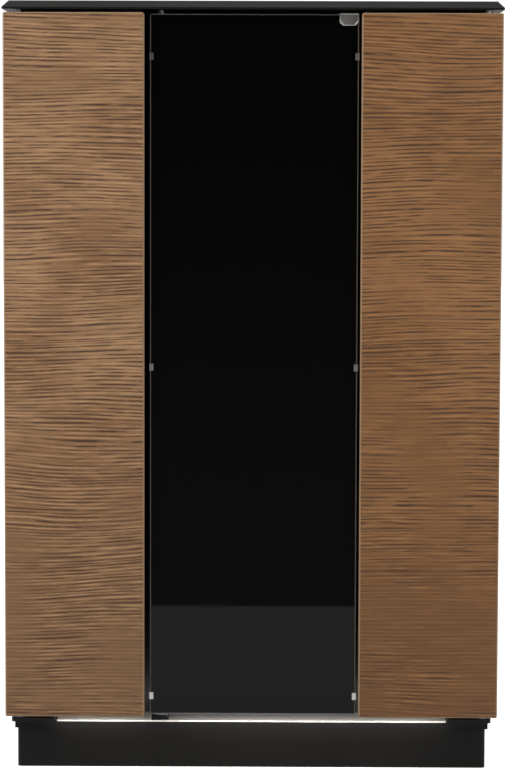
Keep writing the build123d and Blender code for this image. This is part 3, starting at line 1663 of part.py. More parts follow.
# Control box on the right side sheet, with the parting line of its lid
with BuildPart() as control_box:
    with BuildSketch(facing_right(casing_inner_x)):
        with Locations((box_y, box_z)):
            RectangleRounded(box_length, box_height, box_corner)
    extrude(amount=-box_depth)
    with BuildSketch(facing_right(casing_inner_x - box_depth + box_lid_depth)):
        with Locations((box_y, box_z)):
            RectangleRounded(box_length, box_height, box_corner)
            RectangleRounded(
                box_length - box_groove,
                box_height - box_groove,
                box_corner,
                mode=Mode.SUBTRACT,
            )
    extrude(amount=box_groove, mode=Mode.SUBTRACT)
control_box.part.label = "control_box"
export_step(control_box.part, "parts/control_box.step")

# Power inlet in the back sheet: a flanged body with a socket below and a rocker switch above
socket_z = inlet_z - socket_drop
switch_z = inlet_z + switch_rise
inlet_face_y = casing_back_y + inlet_flange
with BuildPart() as power_inlet:
    with BuildSketch(facing_back(casing_back_y)):
        with Locations((-inlet_x, inlet_z)):
            Rectangle(inlet_width, inlet_height)
    extrude(amount=inlet_flange)
    fillet(power_inlet.edges().filter_by(Axis.Y), radius=inlet_flange)
    with BuildSketch(facing_front(casing_back_y)):
        with Locations((inlet_x, inlet_z)):
            Rectangle(inlet_body_width - 2 * running_fit, inlet_body_height - 2 * running_fit)
    extrude(amount=inlet_body_depth)
    with BuildSketch(facing_back(inlet_face_y)):
        with Locations((-inlet_x, socket_z)):
            RectangleRounded(socket_width, socket_height, socket_corner)
    extrude(amount=-socket_depth, mode=Mode.SUBTRACT)
    with BuildSketch(facing_back(inlet_face_y)):
        with Locations((-inlet_x, switch_z)):
            Rectangle(switch_width + switch_room, switch_height + 2 * switch_room)
    extrude(amount=-socket_depth, mode=Mode.SUBTRACT)
    with BuildSketch(facing_right(inlet_x - switch_width / 2 - switch_pin_length)):
        with Locations((casing_back_y, switch_z)):
            Circle(switch_pin_radius + running_fit)
    extrude(amount=switch_width + 2 * switch_pin_length, mode=Mode.SUBTRACT)
power_inlet.part.label = "power_inlet"
export_step(power_inlet.part, "parts/power_inlet.step")

# Rocker switch: two faces that meet at a shallow angle, on two side pins
switch_drop = switch_height / 2 * sin(radians(switch_tilt))
with BuildPart() as rocker_switch:
    with BuildSketch(facing_right(inlet_x - switch_width / 2)):
        with BuildLine():
            Polyline(
                (inlet_face_y - switch_depth, switch_z - switch_height / 2),
                (inlet_face_y + switch_drop, switch_z - switch_height / 2),
                (inlet_face_y, switch_z),
                (inlet_face_y + switch_drop, switch_z + switch_height / 2),
                (inlet_face_y - switch_depth, switch_z + switch_height / 2),
                close=True,
            )
        make_face()
    extrude(amount=switch_width)
    with BuildSketch(facing_right(inlet_x - switch_width / 2 - switch_pin_length + running_fit)):
        with Locations((casing_back_y, switch_z)):
            Circle(switch_pin_radius)
    extrude(amount=switch_width + 2 * switch_pin_length - 2 * running_fit)
rocker_switch.part.label = "rocker_switch"
export_step(rocker_switch.part, "parts/rocker_switch.step")
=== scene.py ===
import json
from math import cos, pi, radians, sin

import bmesh
import bpy
from mathutils import Matrix, Vector


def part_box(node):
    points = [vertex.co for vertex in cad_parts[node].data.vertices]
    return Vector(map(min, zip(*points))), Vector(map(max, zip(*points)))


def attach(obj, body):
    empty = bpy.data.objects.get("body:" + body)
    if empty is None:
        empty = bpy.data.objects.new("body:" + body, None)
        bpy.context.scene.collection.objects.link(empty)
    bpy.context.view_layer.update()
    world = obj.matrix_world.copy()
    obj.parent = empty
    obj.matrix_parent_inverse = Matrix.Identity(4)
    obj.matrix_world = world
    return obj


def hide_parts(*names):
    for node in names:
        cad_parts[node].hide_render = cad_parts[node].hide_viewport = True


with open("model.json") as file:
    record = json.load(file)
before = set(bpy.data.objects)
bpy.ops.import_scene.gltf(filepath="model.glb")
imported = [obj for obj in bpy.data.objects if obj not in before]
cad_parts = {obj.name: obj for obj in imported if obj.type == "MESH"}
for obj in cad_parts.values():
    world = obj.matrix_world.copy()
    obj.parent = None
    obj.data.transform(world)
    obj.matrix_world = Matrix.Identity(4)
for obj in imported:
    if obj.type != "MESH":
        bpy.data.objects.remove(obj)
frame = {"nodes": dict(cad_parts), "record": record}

# Looks of a pellet boiler stove. Lengths are in metres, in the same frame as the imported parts:
# X to the right seen from the front, Y to the back, Z up.
mm = 0.001
scene = bpy.context.scene
scene.view_settings.view_transform = "Standard"
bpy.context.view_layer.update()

BACK = Vector((0, 1, 0))
UP = Vector((0, 0, 1))
FRONT = -BACK
LEFT = Vector((-1, 0, 0))


# Shader building blocks


def put(tree, target, value):
    """Feeds a socket from another socket, or sets it to a constant."""
    if isinstance(value, bpy.types.NodeSocket):
        tree.links.new(value, target)
    else:
        target.default_value = value


def new_finish(name):
    """A new material, with its node tree and its main shader."""
    material = bpy.data.materials.new(name)
    material.use_nodes = True
    tree = material.node_tree
    return material, tree, tree.nodes["Principled BSDF"]


def place(tree, stretch=(1, 1, 1)):
    """The shaded point in the object's own space, stretched along each axis."""
    coordinates = tree.nodes.new("ShaderNodeTexCoord")
    scale = tree.nodes.new("ShaderNodeVectorMath")
    scale.operation = "MULTIPLY"
    put(tree, scale.inputs[0], coordinates.outputs["Object"])
    put(tree, scale.inputs[1], stretch)
    return scale.outputs[0]


def noise(tree, point, scale, detail=3, roughness=0.5):
    """Cloudy values round one half."""
    node = tree.nodes.new("ShaderNodeTexNoise")
    put(tree, node.inputs["Vector"], point)
    node.inputs["Scale"].default_value = scale
    node.inputs["Detail"].default_value = detail
    node.inputs["Roughness"].default_value = roughness
    return node.outputs["Fac"]


def cells(tree, point, scale):
    """Distance to the nearest of many scattered points."""
    node = tree.nodes.new("ShaderNodeTexVoronoi")
    put(tree, node.inputs["Vector"], point)
    node.inputs["Scale"].default_value = scale
    return node.outputs["Distance"]


def calc(tree, operation, a, b=0.0):
    node = tree.nodes.new("ShaderNodeMath")
    node.operation = operation
    put(tree, node.inputs[0], a)
    put(tree, node.inputs[1], b)
    return node.outputs[0]


def plus(tree, a, b):
    return calc(tree, "ADD", a, b)


def minus(tree, a, b):
    return calc(tree, "SUBTRACT", a, b)


def times(tree, a, b):
    return calc(tree, "MULTIPLY", a, b)


def larger(tree, a, b):
    return calc(tree, "MAXIMUM", a, b)


def remap(tree, value, low, high, out_low=0.0, out_high=1.0):
    """A smooth step from one value to another while the input goes from low to high."""
    node = tree.nodes.new("ShaderNodeMapRange")
    node.interpolation_type = "SMOOTHSTEP"
    put(tree, node.inputs["Value"], value)
    node.inputs["From Min"].default_value = low
    node.inputs["From Max"].default_value = high
    node.inputs["To Min"].default_value = out_low
    node.inputs["To Max"].default_value = out_high
    return node.outputs["Result"]


def blend(tree, share, first, second):
    """A colour between two colours."""
    node = tree.nodes.new("ShaderNodeMix")
    node.data_type = "RGBA"
    put(tree, node.inputs["Factor"], share)
    put(tree, node.inputs[6], first)
    put(tree, node.inputs[7], second)
    return node.outputs[2]


def relief(tree, shader, height, strength, distance):
    """Small bumps from a height."""
    node = tree.nodes.new("ShaderNodeBump")
    node.inputs["Strength"].default_value = strength
    node.inputs["Distance"].default_value = distance
    put(tree, node.inputs["Height"], height)
    put(tree, shader.inputs["Normal"], node.outputs["Normal"])


def tone(colour, factor):
    """A lighter or darker colour of the same hue."""
    return tuple(channel * factor for channel in colour[:3]) + (1.0,)


def axes(tree, point):
    split = tree.nodes.new("ShaderNodeSeparateXYZ")
    put(tree, split.inputs[0], point)
    return split.outputs


def joined(tree, x, y, z):
    node = tree.nodes.new("ShaderNodeCombineXYZ")
    put(tree, node.inputs[0], x)
    put(tree, node.inputs[1], y)
    put(tree, node.inputs[2], z)
    return node.outputs[0]


def spread(tree, across, seed, along, across_scale, along_scale):
    """A point for a texture that is stretched differently across and along."""
    return joined(tree, times(tree, across, across_scale), seed, times(tree, along, along_scale))


def near_outline(tree, box, width):
    """One within a given width of a panel's upright and level edges, and nought inside them."""
    fade = 0.15 * mm
    low, high = box
    point = axes(tree, place(tree))
    shares = []
    for axis in (0, 2):
        centre = (low[axis] + high[axis]) / 2
        half = (high[axis] - low[axis]) / 2
        offset = calc(tree, "ABSOLUTE", minus(tree, point[axis], centre))
        shares.append(remap(tree, offset, half - width, half - width + fade))
    return larger(tree, shares[0], shares[1])


# Finishes


def oak(name, box, figure_seed, light_brown, dark_brown):
    """Brushed oak veneer with its grain level, and a painted highlight band round its edges where the
    arris catches light.
    """
    material, tree, shader = new_finish(name)
    x, y, z = axes(tree, place(tree))
    seeded = plus(tree, y, figure_seed)

    # The grain lines wander up and down over the panel
    drift_reach = 34 * mm
    waver_reach = 1.8 * mm
    broad = noise(tree, spread(tree, x, seeded, z, 3.0, 5.0), 1.0, 1)
    close = noise(tree, spread(tree, x, seeded, z, 16.0, 60.0), 1.0, 2)
    drift = times(tree, minus(tree, broad, 0.5), drift_reach)
    waver = times(tree, minus(tree, close, 0.5), waver_reach)
    level = plus(tree, plus(tree, z, drift), waver)

    # Fine dark pores in broken level lines, with pale ridges between them
    pore_pitch = 4.9 * mm
    slip_reach = 18.0
    phase = times(tree, level, 2 * pi / pore_pitch)
    slip = times(tree, noise(tree, spread(tree, x, seeded, level, 1.6, 55.0), 1.0), slip_reach)
    wave = calc(tree, "SINE", plus(tree, phase, slip))
    dashes = noise(tree, spread(tree, x, seeded, level, 24.0, 260.0), 1.0, 3, 0.6)
    pores = times(tree, remap(tree, wave, 0.1, 0.9), remap(tree, dashes, 0.36, 0.58))
    ridges = times(tree, remap(tree, wave, -0.1, -0.9), remap(tree, dashes, 0.60, 0.38))

    # The figure fades out in patches, most of all near the foot of the panel
    patch = noise(tree, spread(tree, x, seeded, z, 8.0, 14.0), 1.0, 4)
    foot = remap(tree, z, 0.42, 0.12, 0.0, 0.16)
    figure = remap(tree, minus(tree, patch, foot), 0.30, 0.50, 0.30, 1.0)
    pores = times(tree, pores, figure)
    ridges = times(tree, ridges, figure)

    # Two browns in clouds, with painted shade darkening them towards the foot and a little towards the
    # top
    clouds = noise(tree, spread(tree, x, seeded, z, 7.0, 9.0), 1.0, 4)
    painted_foot_shade = remap(tree, z, 0.60, 0.08)
    painted_top_shade = remap(tree, z, 0.80, 0.98, 0.0, 0.35)
    ground = blend(tree, remap(tree, clouds, 0.32, 0.68), light_brown, dark_brown)
    ground = blend(tree, larger(tree, painted_foot_shade, painted_top_shade), ground, tone(dark_brown, 0.86))

    # Fine fibres, ridges, pores and a painted highlight along the edges, where the arris catches light
    pore_brown = (0.060, 0.026, 0.011, 1.0)
    ridge_tan = tone(light_brown, 1.45)
    edge_highlight_tan = (0.460, 0.310, 0.190, 1.0)
    edge_highlight_width = 1.7 * mm
    fibres = noise(tree, spread(tree, x, seeded, level, 60.0, 900.0), 1.0, 2)
    ground = blend(tree, remap(tree, fibres, 0.35, 0.75, 0.0, 0.30), ground, dark_brown)
    ground = blend(tree, times(tree, ridges, 0.65), ground, ridge_tan)
    ground = blend(tree, times(tree, pores, 0.95), ground, pore_brown)
    edge_highlight = times(tree, near_outline(tree, box, edge_highlight_width), 0.8)
    put(tree, shader.inputs["Base Color"], blend(tree, edge_highlight, ground, edge_highlight_tan))

    pore_depth = 0.35 * mm
    put(tree, shader.inputs["Roughness"], remap(tree, pores, 0.0, 1.0, 0.46, 0.70))
    shader.inputs["Specular IOR Level"].default_value = 0.45
    height = minus(tree, times(tree, ridges, 0.4), pores)
    height = plus(tree, height, times(tree, fibres, 0.15))
    relief(tree, shader, height, 0.35, pore_depth)
    return material


def coat(name, colour, roughness, grain, grain_strength=0.12, specular=0.5, wear=0.0):
    """Powder coat or paint: an even colour with faint clouds, fine orange peel and dust."""
    material, tree, shader = new_finish(name)
    peel_depth = 0.3 * mm
    point = place(tree)
    clouds = noise(tree, point, 7.0, 4)
    peel = noise(tree, point, grain, 2)
    dust = noise(tree, point, 140.0, 3)
    body = blend(tree, clouds, tone(colour, 0.80), tone(colour, 1.22))
    body = blend(tree, remap(tree, dust, 0.62, 0.80, 0.0, 0.25 + wear), body, tone(colour, 1.9))
    rough = remap(tree, clouds, 0.25, 0.75, roughness - 0.06, roughness + 0.06)
    put(tree, shader.inputs["Base Color"], body)
    put(tree, shader.inputs["Roughness"], rough)
    shader.inputs["Specular IOR Level"].default_value = specular
    relief(tree, shader, peel, grain_strength, peel_depth)
    return material


def metal(name, colour, roughness, brushed=(1, 1, 1), grain=900.0, stain=None):
    """Bare or plated metal, brushed along the axis with the smallest stretch."""
    material, tree, shader = new_finish(name)
    line_depth = 0.15 * mm
    point = place(tree)
    lines = noise(tree, place(tree, brushed), grain, 2)
    clouds = noise(tree, point, 18.0, 4)
    scuffs = noise(tree, point, 95.0, 5, 0.65)
    body = blend(tree, clouds, tone(colour, 0.86), tone(colour, 1.10))
    body = blend(tree, remap(tree, scuffs, 0.58, 0.74, 0.0, 0.45), body, stain or tone(colour, 0.72))
    rough = remap(tree, clouds, 0.3, 0.7, roughness - 0.05, roughness + 0.05)
    put(tree, shader.inputs["Base Color"], body)
    put(tree, shader.inputs["Roughness"], plus(tree, rough, times(tree, lines, 0.10)))
    shader.inputs["Metallic"].default_value = 1.0
    relief(tree, shader, lines, 0.08, line_depth)
    return material


def black_glass(box):
    """Enamelled black glass with a ground edge, faint smears and a little dust."""
    material, tree, shader = new_finish("black_glass")
    black = (0.0012, 0.0013, 0.0013, 1.0)
    speck = (0.012, 0.012, 0.012, 1.0)
    ground_grey = (0.300, 0.305, 0.310, 1.0)
    edge_width = 1.4 * mm
    smears = noise(tree, place(tree, (1.0, 1.0, 0.35)), 14.0, 5, 0.6)
    dust = noise(tree, place(tree), 420.0, 2)
    edge = near_outline(tree, box, edge_width)
    body = blend(tree, remap(tree, dust, 0.70, 0.80, 0.0, 0.5), black, speck)
    rough = remap(tree, smears, 0.35, 0.80, 0.015, 0.05)
    put(tree, shader.inputs["Base Color"], blend(tree, edge, body, ground_grey))
    put(tree, shader.inputs["Roughness"], larger(tree, rough, times(tree, edge, 0.30)))
    shader.inputs["Specular IOR Level"].default_value = 0.17
    return material


def clear_glass(name, tint, roughness, haze):
    """See-through glass with a thin uneven haze on it."""
    material, tree, shader = new_finish(name)
    film = noise(tree, place(tree), 16.0, 5, 0.6)
    body = blend(tree, remap(tree, film, 0.45, 0.80, 0.0, haze), tint, tone(tint, 0.45))
    rough = remap(tree, film, 0.40, 0.85, roughness, roughness + 0.25)
    put(tree, shader.inputs["Base Color"], body)
    put(tree, shader.inputs["Roughness"], rough)
    shader.inputs["Transmission Weight"].default_value = 1.0
    shader.inputs["IOR"].default_value = 1.5
    return material


def cast_surface(name, colour, roughness, metallic, rust=None):
    """Sand-cast metal: coarse grain with darker pits."""
    material, tree, shader = new_finish(name)
    grain_depth = 0.4 * mm
    point = place(tree)
    grain = noise(tree, point, 520.0, 4, 0.6)
    pits = cells(tree, point, 260.0)
    clouds = noise(tree, point, 12.0, 5)
    body = blend(tree, clouds, tone(colour, 0.75), tone(colour, 1.30))
    if rust:
        body = blend(tree, remap(tree, clouds, 0.60, 0.78, 0.0, 0.35), body, rust)
    body = blend(tree, remap(tree, pits, 0.0, 0.25, 0.5, 0.0), body, tone(colour, 0.4))
    rough = remap(tree, grain, 0.3, 0.7, roughness - 0.08, roughness + 0.10)
    put(tree, shader.inputs["Base Color"], body)
    put(tree, shader.inputs["Roughness"], rough)
    shader.inputs["Metallic"].default_value = metallic
    relief(tree, shader, grain, 0.35, grain_depth)
    return material


def board(name):
    """Pressed mineral board, flecked and smoked."""
    material, tree, shader = new_finish(name)
    pale = (0.42, 0.36, 0.27, 1.0)
    gold = (0.30, 0.21, 0.11, 1.0)
    soot = (0.05, 0.045, 0.04, 1.0)
    fleck_depth = 0.6 * mm
    point = place(tree)
    flecks = cells(tree, point, 330.0)
    smoke = noise(tree, point, 8.0, 5, 0.6)
    body = blend(tree, remap(tree, flecks, 0.20, 0.60), gold, pale)
    body = blend(tree, remap(tree, smoke, 0.35, 0.75, 0.15, 0.85), body, soot)
    put(tree, shader.inputs["Base Color"], body)
    shader.inputs["Roughness"].default_value = 0.95
    relief(tree, shader, flecks, 0.5, fleck_depth)
    return material


def braid(name):
    """Braided glass rope: crossing strands in a tight diamond pattern."""
    material, tree, shader = new_finish(name)
    dark_strand = (0.018, 0.018, 0.018, 1.0)
    pale_strand = (0.11, 0.11, 0.105, 1.0)
    fluff = (0.2, 0.2, 0.19, 1.0)
    strand_pitch = 3.2 * mm
    strand_depth = 0.8 * mm
    turns = 2 * pi / strand_pitch
    x, _, z = axes(tree, place(tree))
    rising = calc(tree, "SINE", times(tree, plus(tree, x, z), turns))
    falling = calc(tree, "SINE", times(tree, minus(tree, x, z), turns))
    strands = larger(tree, rising, falling)
    fuzz = noise(tree, place(tree), 1500.0, 2)
    body = blend(tree, remap(tree, strands, -0.2, 1.0), dark_strand, pale_strand)
    body = blend(tree, remap(tree, fuzz, 0.55, 0.8, 0.0, 0.4), body, fluff)
    put(tree, shader.inputs["Base Color"], body)
    shader.inputs["Roughness"].default_value = 0.92
    shader.inputs["Sheen Weight"].default_value = 0.3
    relief(tree, shader, strands, 0.8, strand_depth)
    return material


def plastic(name, colour, roughness):
    """Moulded plastic with a fine spark-eroded grain."""
    material, tree, shader = new_finish(name)
    grain_depth = 0.15 * mm
    point = place(tree)
    grain = noise(tree, point, 1500.0, 2)
    clouds = noise(tree, point, 20.0, 3)
    rough = remap(tree, grain, 0.3, 0.7, roughness - 0.05, roughness + 0.08)
    put(tree, shader.inputs["Base Color"], blend(tree, clouds, tone(colour, 0.85), tone(colour, 1.2)))
    put(tree, shader.inputs["Roughness"], rough)
    relief(tree, shader, grain, 0.15, grain_depth)
    return material


# The left door's browns are the right door's browns with a painted sheen added: a pale veil that stands
# for the key light's reflection
left_light_brown_painted_sheen = (0.415, 0.243, 0.128, 1.0)
left_dark_brown_painted_sheen = (0.270, 0.142, 0.067, 1.0)
right_light_brown = (0.320, 0.156, 0.062, 1.0)
right_dark_brown = (0.215, 0.098, 0.036, 1.0)
zinc_bloom = (0.40, 0.42, 0.45, 1.0)
brass_tarnish = (0.42, 0.26, 0.10, 1.0)
iron_rust = (0.11, 0.045, 0.018, 1.0)
no_stretch = (1, 1, 1)
brushed_across = (0.04, 1, 1)

finishes = {
    "oak": oak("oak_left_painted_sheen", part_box("wood_door_left"), 0.0, left_light_brown_painted_sheen, left_dark_brown_painted_sheen),
    "black_paint": coat("black_paint", (0.0072, 0.0067, 0.0062), 0.48, 1100.0, 0.12, 0.16),
    "grey_plate": coat("grey_plate", (0.60, 0.560, 0.525), 0.42, 900.0, 0.08),
    "zinc_steel": metal("zinc_steel", (0.47, 0.48, 0.49), 0.36, no_stretch, 700.0, zinc_bloom),
    "black_plastic": plastic("black_plastic", (0.020, 0.020, 0.021), 0.45),
    "display_glass": plastic("display_glass", (0.006, 0.0065, 0.007), 0.12),
    "black_glass": black_glass(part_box("glass_pane")),
    "nickel": metal("nickel", (0.60, 0.585, 0.56), 0.26, brushed_across, 1600.0),
    "boiler_steel": coat("boiler_steel", (0.060, 0.062, 0.066), 0.50, 600.0, 0.20, 0.5, 0.2),
    "cast_iron": cast_surface("cast_iron", (0.030, 0.029, 0.028), 0.62, 0.3, iron_rust),
    "fire_ceramic": board("fire_ceramic"),
    "fire_glass": clear_glass("fire_glass", (0.86, 0.83, 0.78, 1.0), 0.02, 0.6),
    "rope_fabric": braid("rope_fabric"),
    "cast_aluminium": cast_surface("cast_aluminium", (0.50, 0.50, 0.51), 0.42, 1.0),
    "brass_fitting": metal("brass_fitting", (0.70, 0.50, 0.22), 0.30, no_stretch, 500.0, brass_tarnish),
    "red_paint": coat("red_paint", (0.38, 0.022, 0.018), 0.35, 700.0, 0.15),
}
right_oak = oak("oak_right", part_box("wood_door_right"), 3.7, right_light_brown, right_dark_brown)
steel_wire = metal("steel_wire", (0.50, 0.50, 0.50), 0.30)
enamel_white = coat("enamel_white", (0.72, 0.72, 0.70), 0.30, 800.0, 0.05)
seam_steel = cast_surface("seam_steel", (0.10, 0.10, 0.105), 0.45, 0.6)

for subpart in frame["record"]["subparts"]:
    node = frame["nodes"][subpart["node"]]
    for slot in node.material_slots:
        slot.material = finishes[subpart["material_slot"]]
for slot in frame["nodes"]["wood_door_right"].material_slots:
    slot.material = right_oak


# Mesh building blocks


def finish_piece(name, mesh_builder, body, material, smooth_angle=35.0):
    """Turns a filled bmesh into a piece that rides on a body and has a finish."""
    bmesh.ops.recalc_face_normals(mesh_builder, faces=mesh_builder.faces)
    mesh = bpy.data.meshes.new(name)
    mesh_builder.to_mesh(mesh)
    mesh_builder.free()
    mesh.materials.append(material)
    for polygon in mesh.polygons:
        polygon.use_smooth = True
    mesh.set_sharp_from_angle(angle=radians(smooth_angle))
    piece = bpy.data.objects.new(name, mesh)
    scene.collection.objects.link(piece)
    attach(piece, body)
    return piece


def facing(place_at, outward, turn=0.0):
    """A matrix whose Z axis looks outwards from a place."""
    axis = Vector(outward).normalized()
    side = UP if abs(axis.z) < 0.9 else BACK
    first = side.cross(axis).normalized()
    second = axis.cross(first)
    basis = Matrix((first, second, axis)).transposed().to_4x4()
    return Matrix.Translation(Vector(place_at)) @ basis @ Matrix.Rotation(turn, 4, "Z")


def flat_sided(angle, sides):
    """How far a regular polygon reaches at an angle, where its flats are at distance one."""
    sector = 2 * pi / sides
    return 1 / cos((angle % sector) - sector / 2)


def join_loops(builder, loops, closed=False):
    """Faces between each loop of points and the next, with end caps or back to the first loop."""
    count = len(loops[0])
    followers = loops[1:] + loops[:1] if closed else loops[1:]
    for lower, upper in zip(loops, followers):
        for step in range(count):
            after = (step + 1) % count
            builder.faces.new((lower[step], lower[after], upper[after], upper[step]))
    if not closed:
        builder.faces.new(loops[0][::-1])
        builder.faces.new(loops[-1])


def add_turned(builder, matrix, rings, steps=36):
    """A closed form of stacked rings: each has a radius, a height and a number of flats, or nought."""
    loops = []
    for radius, height, sides in rings:
        loop = []
        for step in range(steps):
            angle = 2 * pi * step / steps
            reach = radius * (flat_sided(angle, sides) if sides else 1.0)
            point = Vector((reach * cos(angle), reach * sin(angle), height))
            loop.append(builder.verts.new(matrix @ point))
        loops.append(loop)
    join_loops(builder, loops)


def add_plate(builder, matrix, outline, steps_in):
    """A closed plate over an outline: each step has an inward shift and a height."""
    centre = sum((Vector(point) for point in outline), Vector((0, 0))) / len(outline)
    loops = []
    for inward, height in steps_in:
        loop = []
        for x, y in outline:
            x_shift = -inward if x > centre.x else inward
            y_shift = -inward if y > centre.y else inward
            loop.append(builder.verts.new(matrix @ Vector((x + x_shift, y + y_shift, height))))
        loops.append(loop)
    join_loops(builder, loops)


def rounded_outline(width, height, corner, steps=6):
    """The points of a rounded rectangle round the origin."""
    points = []
    for turn, (sign_x, sign_y) in enumerate(((1, 1), (-1, 1), (-1, -1), (1, -1))):
        middle = (sign_x * (width / 2 - corner), sign_y * (height / 2 - corner))
        for step in range(steps + 1):
            angle = pi / 2 * (turn + step / steps)
            points.append((middle[0] + corner * cos(angle), middle[1] + corner * sin(angle)))
    return points


def button_screw(radius):
    """A low domed head with a six-sided socket."""
    return (
        (radius, 0, 0),
        (radius, 0.22 * radius, 0),
        (0.93 * radius, 0.42 * radius, 0),
        (0.74 * radius, 0.60 * radius, 0),
        (0.50 * radius, 0.68 * radius, 0),
        (0.36 * radius, 0.68 * radius, 6),
        (0.34 * radius, 0.28 * radius, 6),
    )


def screws(name, places, outward, radius):
    """Like screw heads that stand on a surface of the stove, each with its socket turned on."""
    socket_turn = 0.7
    builder = bmesh.new()
    for number, spot in enumerate(places):
        add_turned(builder, facing(spot, outward, socket_turn * number), button_screw(radius))
    finish_piece(name, builder, "stove", finishes["zinc_steel"])


def add_rod(builder, start, end, radius, steps=16):
    """A straight rod with slightly rounded ends."""
    start = Vector(start)
    end = Vector(end)
    length = (end - start).length
    rings = (
        (0.7 * radius, 0, 0),
        (radius, 0.3 * radius, 0),
        (radius, length - 0.3 * radius, 0),
        (0.7 * radius, length, 0),
    )
    add_turned(builder, facing(start, end - start), rings, steps)


def add_thread(builder, matrix, radius, depth, pitch, length, steps=32):
    """One unbroken helical ridge round a stub."""
    root = radius - 0.3 * depth
    profile = ((root, 0.0), (radius + depth, 0.5 * pitch), (root, 0.96 * pitch))
    sections = []
    turns = int(length / pitch) - 1
    for step in range(turns * steps + 1):
        angle = 2 * pi * step / steps
        climb = pitch * step / steps
        section = []
        for reach, rise in profile:
            point = Vector((reach * cos(angle), reach * sin(angle), climb + rise))
            section.append(builder.verts.new(matrix @ point))
        sections.append(section)
    join_loops(builder, sections)


def add_bead(builder, corners, radius, steps=10):
    """A closed ring of weld along straight runs, with mitred corners."""
    loops = []
    count = len(corners)
    for index in range(count):
        before = (corners[index] - corners[index - 1]).normalized()
        after = (corners[(index + 1) % count] - corners[index]).normalized()
        tangent = (before + after).normalized()
        stretch = 1 / max(0.3, before.dot(tangent))
        side = tangent.cross(UP if abs(tangent.z) < 0.9 else BACK).normalized()
        over = side.cross(tangent).normalized()
        loop = []
        for step in range(steps):
            angle = 2 * pi * step / steps
            offset = side * (radius * stretch * cos(angle)) + over * (radius * sin(angle))
            loop.append(builder.verts.new(corners[index] + offset))
        loops.append(loop)
    join_loops(builder, loops, closed=True)


# Strike plate: a satin face with a raised border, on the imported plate


def strike_face():
    low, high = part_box("strike_plate")
    middle = ((low.x + high.x) / 2, low.y, (low.z + high.z) / 2)
    half_width = (high.x - low.x) / 2
    half_height = (high.z - low.z) / 2
    lower_cut = 4 * mm
    upper_cut = 0.6 * mm
    outline = (
        (-half_width + lower_cut, -half_height),
        (half_width - lower_cut, -half_height),
        (half_width, -half_height + lower_cut),
        (half_width, half_height - upper_cut),
        (half_width - upper_cut, half_height),
        (-half_width, half_height),
        (-half_width, -half_height + lower_cut),
    )
    border_and_face = (
        (0.15 * mm, 0.0),
        (0.15 * mm, 0.35 * mm),
        (0.70 * mm, 0.75 * mm),
        (1.30 * mm, 0.75 * mm),
        (1.80 * mm, 0.40 * mm),
    )
    builder = bmesh.new()
    add_plate(builder, facing(middle, FRONT), outline, border_and_face)
    finish_piece("strike_face", builder, "glass_door", finishes["nickel"], 20)


strike_face()


# Casing: screws of the back sheet, the front panel and the brackets


def casing_screws():
    edge_distance = 12 * mm
    inner_column = 0.1
    low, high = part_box("casing_back")
    height = high.z - low.z - 2 * edge_distance
    rows = [low.z + edge_distance + share * height for share in (0, 0.25, 0.5, 0.75, 1)]
    spots = [(side * (high.x - edge_distance), high.y, row) for side in (-1, 1) for row in rows]
    spots += [(x, high.y, row) for x in (-inner_column, inner_column) for row in (rows[0], rows[-1])]
    screws("back_sheet_screws", spots, BACK, 4 * mm)

    column = 0.148
    low_distance = 20 * mm
    high_distance = 60 * mm
    low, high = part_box("front_panel")
    rows = [low.z + low_distance, (low.z + high.z) / 2, high.z - high_distance]
    spots = [(side * column, low.y, row) for side in (-1, 1) for row in rows]
    screws("front_panel_screws", spots, FRONT, 4 * mm)

    back_distance = 14 * mm
    half_spacing = 16 * mm
    for side_name in ("left", "right"):
        low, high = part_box(side_name + "_door_bracket")
        middle = (low.x + high.x) / 2
        y = high.y - back_distance
        spots = [(middle + shift, y, high.z) for shift in (-half_spacing, half_spacing)]
        screws(side_name + "_bracket_screws", spots, UP, 4.5 * mm)


casing_screws()


# Control panel: a rimmed face with a display window and six touch keys


def panel_face():
    low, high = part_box("control_panel")
    middle = Vector(((low.x + high.x) / 2, (low.y + high.y) / 2, low.z))
    thick = high.z - low.z
    corner = 2 * mm
    rim_width = 3 * mm
    rim_round = 0.4 * mm
    sunk = 0.5 * mm
    steps = (
        (0, 0),
        (0, thick - rim_round),
        (rim_round, thick),
        (rim_width, thick),
        (rim_width + 0.3 * mm, thick - sunk),
    )
    builder = bmesh.new()
    outline = rounded_outline(high.x - low.x, high.y - low.y, corner)
    add_plate(builder, facing(middle, UP), outline, steps)
    face = finish_piece("panel_face", builder, "stove", finishes["display_glass"], 25)
    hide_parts("control_panel")

    top = middle + UP * (thick - sunk)
    window_shift = Vector((-0.030, 0, 0))
    window_outline = rounded_outline(78 * mm, 44 * mm, 3 * mm)
    window_steps = ((0, 0), (0.1 * mm, 0.25 * mm), (0.9 * mm, 0.25 * mm), (1.1 * mm, 0.05 * mm))
    builder = bmesh.new()
    add_plate(builder, facing(top + window_shift, UP), window_outline, window_steps)
    finish_piece("panel_window", builder, "stove", finishes["black_plastic"], 25)

    key_radius = 6.5 * mm
    key_x = 0.031
    key_column_pitch = 0.026
    key_row_pitch = 0.018
    key_rings = (
        (key_radius, 0, 0),
        (key_radius - 0.1 * mm, 0.30 * mm, 0),
        (key_radius - 0.9 * mm, 0.30 * mm, 0),
        (key_radius - 1.0 * mm, 0.08 * mm, 0),
        (1.2 * mm, 0.02 * mm, 0),
        (0.9 * mm, 0.22 * mm, 0),
    )
    builder = bmesh.new()
    for column in (0, 1):
        for row in (-1, 0, 1):
            spot = top + Vector((key_x + key_column_pitch * column, key_row_pitch * row, 0))
            add_turned(builder, facing(spot, UP), key_rings)
    finish_piece("panel_keys", builder, "stove", finishes["nickel"])


panel_face()


# Hopper: a wire guard over the funnel


